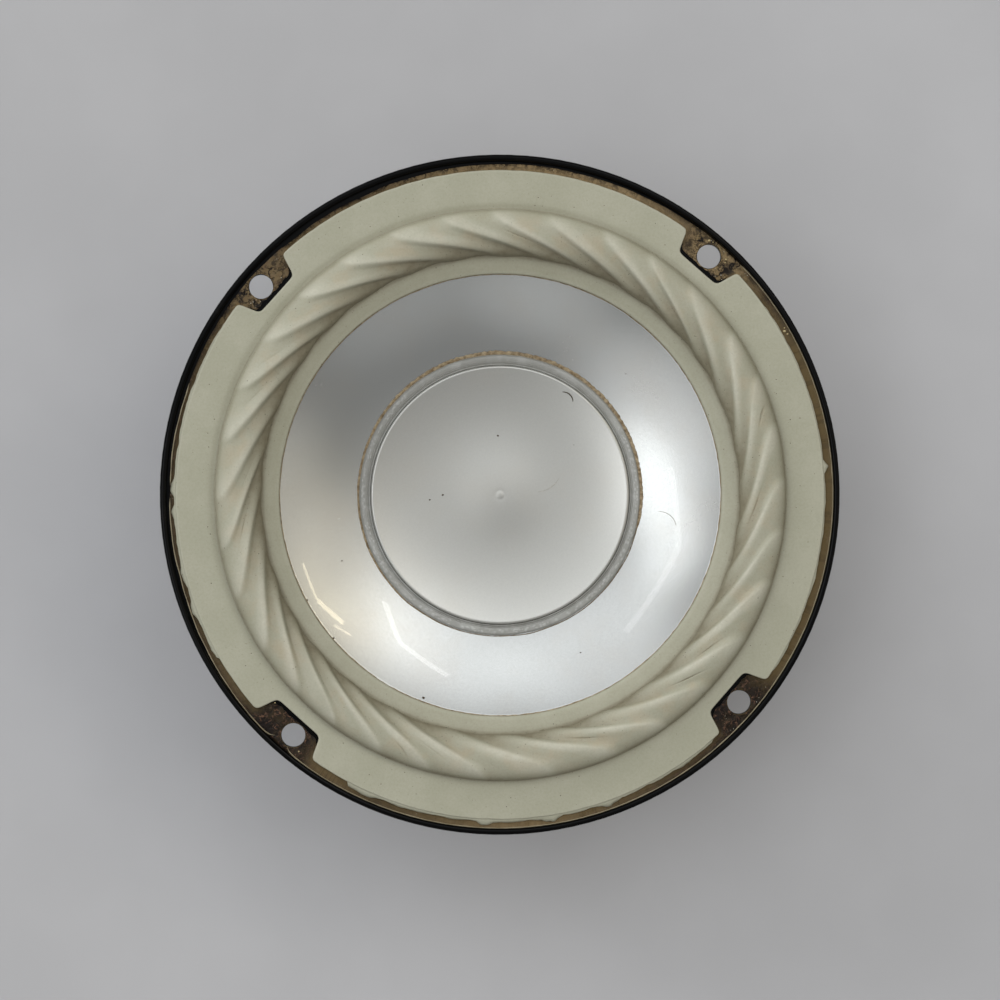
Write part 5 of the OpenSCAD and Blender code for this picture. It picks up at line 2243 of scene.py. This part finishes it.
@dataclass
class Studio:
    """The floor, the room, the lamps and the camera."""

    roll: float = 4.0
    lean: float = 2.5
    lean_angle: float = 300.0
    distance: float = 0.6
    aside: Floats = (-0.27, -1.1)
    lens: float = 88.7
    floor_size: float = 12.0
    room: float = 0.28
    backdrop: float = 0.8
    walls: Colour = (0.8, 0.8, 0.8)
    warm_side: Colour = (0.8, 0.744, 0.64)
    cool_side: Colour = (0.776, 0.792, 0.808)
    warm_wall: Glow = Glow(75, 42, 34, 1.3)
    cool_wall: Glow = Glow(325, 62, 50, 1.2)
    glows: tuple[Glow, ...] = (
        Glow(0, 76, 26, 0.55), Glow(90, 76, 26, 0.2), Glow(260, 66, 13, 2.5), Glow(285, 56, 11, 2.15),
        Glow(270, 55, 24, 0.6), Glow(240, 55, 24, 1.1), Glow(60, 55, 24, 1.0), Glow(30, 55, 24, 1.6),
        Glow(0, 49, 15, 0.8), Glow(330, 55, 24, 1.5), Glow(188, 45, 18, 0.65), Glow(90, 35, 24, 0.8),
        Glow(150, 35, 24, 0.4), Glow(315, 14, 34, 3.8, sheen=0.25),
    )
    lamps: tuple[Softbox, ...] = (
        Softbox("right_tube_1", 272, 58, 1.3, 0.34, 0.04, 0.09, turn=13),
        Softbox("right_tube_2", 302, 56.5, 1.3, 0.44, 0.04, 0.12),
        Softbox("top_tube_1", 45.3, 58.1, 1.3, 0.2, 0.03, 0.08, turn=-40),
        Softbox("top_tube_2", 29.6, 54.2, 1.3, 0.26, 0.03, 0.1, turn=-11),
        Softbox("warm_tube_1", 68.6, 45, 1.2, 0.15, 0.012, 0.05, (1, 0.87, 0.6), -2),
        Softbox("warm_tube_2", 59, 46.2, 1.2, 0.14, 0.024, 0.1, (1, 0.87, 0.6), 23),
        Softbox("warm_tube_3", 53, 46, 1.2, 0.08, 0.012, 0.022, (1, 0.88, 0.64), 30),
    )

    def direction(self, angle: float, height: float) -> Vector:
        """Returns the way to a clockwise angle and a height over the driver, in degrees."""
        up = math.radians(height)
        return Vector(placed(math.cos(up), math.radians(angle + self.roll), math.sin(up)))

    def build(self) -> None:
        """Builds the floor, the room, the lamps and the camera."""
        self._floor()
        self.light_room()
        for lamp in self.lamps:
            self.hang(lamp)
        self._camera()

    def _floor(self) -> None:
        """Lays the pale floor under the driver's back plate."""
        low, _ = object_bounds()
        half = self.floor_size / 2
        mesh = bpy.data.meshes.new("studio_floor")
        outline = [(-half, -half, 0), (half, -half, 0), (half, half, 0), (-half, half, 0)]
        mesh.from_pydata(outline, [], [(0, 1, 2, 3)])
        mesh.materials.append(PALE_FLOOR.material())
        floor = put("studio_floor", mesh)
        floor.location = (0, 0, low[2] - FLOOR_GAP)
        floor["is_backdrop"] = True

    def light_room(self) -> None:
        """Makes the soft room that lights the driver, plain and pale where it is seen itself."""
        world = bpy.data.worlds.new("studio")
        bpy.context.scene.world = world
        world.use_nodes = True
        shader = Shader(world.node_tree)
        towards = shader.add("ShaderNodeTexCoord", output="Generated")
        rays = ("Is Glossy Ray", "Is Camera Ray", "Is Transmission Ray")
        glossy, seen, through = (shader.add("ShaderNodeLightPath", output=ray) for ray in rays)

        def facing(glow: Glow) -> Socket:
            """Masks the part of the room that a glow covers.

            Args:
                glow: The glow.

            Returns:
                Its strength in its middle, and 0 from its edge on.
            """
            inputs = {0: towards, 1: self.direction(glow.angle, glow.height)}
            dot = shader.add("ShaderNodeVectorMath", {"operation": "DOT_PRODUCT"}, inputs, "Value")
            return dot.band(math.cos(math.radians(glow.spread)), 1.0) * glow.strength

        light: Value = self.room
        for glow in self.glows:
            light = light + facing(glow) * (1 - glossy * (1 - glow.sheen))
        tint = shader.blend(self.walls, self.warm_side, facing(self.warm_wall))
        tint = shader.blend(tint, self.cool_side, facing(self.cool_wall))
        direct = seen.larger(through)
        inputs = {
            "Color": shader.blend(tint, self.walls, direct),
            "Strength": light * (1 - direct) + direct * self.backdrop,
        }
        lit = shader.add("ShaderNodeBackground", inputs=inputs)
        shader.node("ShaderNodeOutputWorld", inputs={"Surface": lit})

    def hang(self, lamp: Softbox) -> None:
        """Hangs one lamp and turns it to the driver.

        Args:
            lamp: The lamp.
        """
        light = bpy.data.lights.new(lamp.name, "AREA")
        light.shape = "RECTANGLE"
        light.size, light.size_y = lamp.width, lamp.tall
        light.energy = lamp.power
        light.color = lamp.colour
        hung = put(lamp.name, light)
        hung.location = self.direction(lamp.angle, lamp.height) * lamp.away
        turned = Quaternion((0, 0, 1), math.radians(lamp.turn))
        hung.rotation_euler = (hung.location.to_track_quat("Z", "Y") @ turned).to_euler()

    def _camera(self) -> None:
        """Sets the camera over the driver, turned as the driver is seen."""
        camera = bpy.data.cameras.new("camera")
        camera.lens = self.lens
        camera.clip_start = 0.01
        back = self.direction(self.lean_angle, 90.0 - self.lean)
        right = self.direction(0.0, 0.0).cross(back).normalized()
        up = back.cross(right)
        place = back * self.distance + (right * self.aside[0] + up * self.aside[1]) * MM
        seat = put("camera", camera)
        seat.matrix_world = Matrix.Translation(place) @ Matrix((right, up, back)).transposed().to_4x4()
        bpy.context.scene.camera = seat


def corners() -> list[list[float]]:
    """Returns the lowest and the highest corner of all that shows."""
    return [list(map(float, corner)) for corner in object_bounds()]


def main() -> None:
    """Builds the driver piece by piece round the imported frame."""
    logging.basicConfig(level=logging.INFO, format="%(message)s")
    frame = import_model()
    bpy.context.scene.view_settings.view_transform = "Standard"
    surround = RopeSurround()
    cone = ConeAssembly(surround)
    assemblies = (
        Motor(),
        surround,
        RimGlue(surround),
        cone,
        VoiceCoil(),
        SpiderCloth(),
        Terminals(),
        Dirt(cone, surround),
    )
    for assembly in assemblies:
        assembly.build()
        assembly.dress(frame)
    Studio().build()


if __name__ == "__main__":
    main()
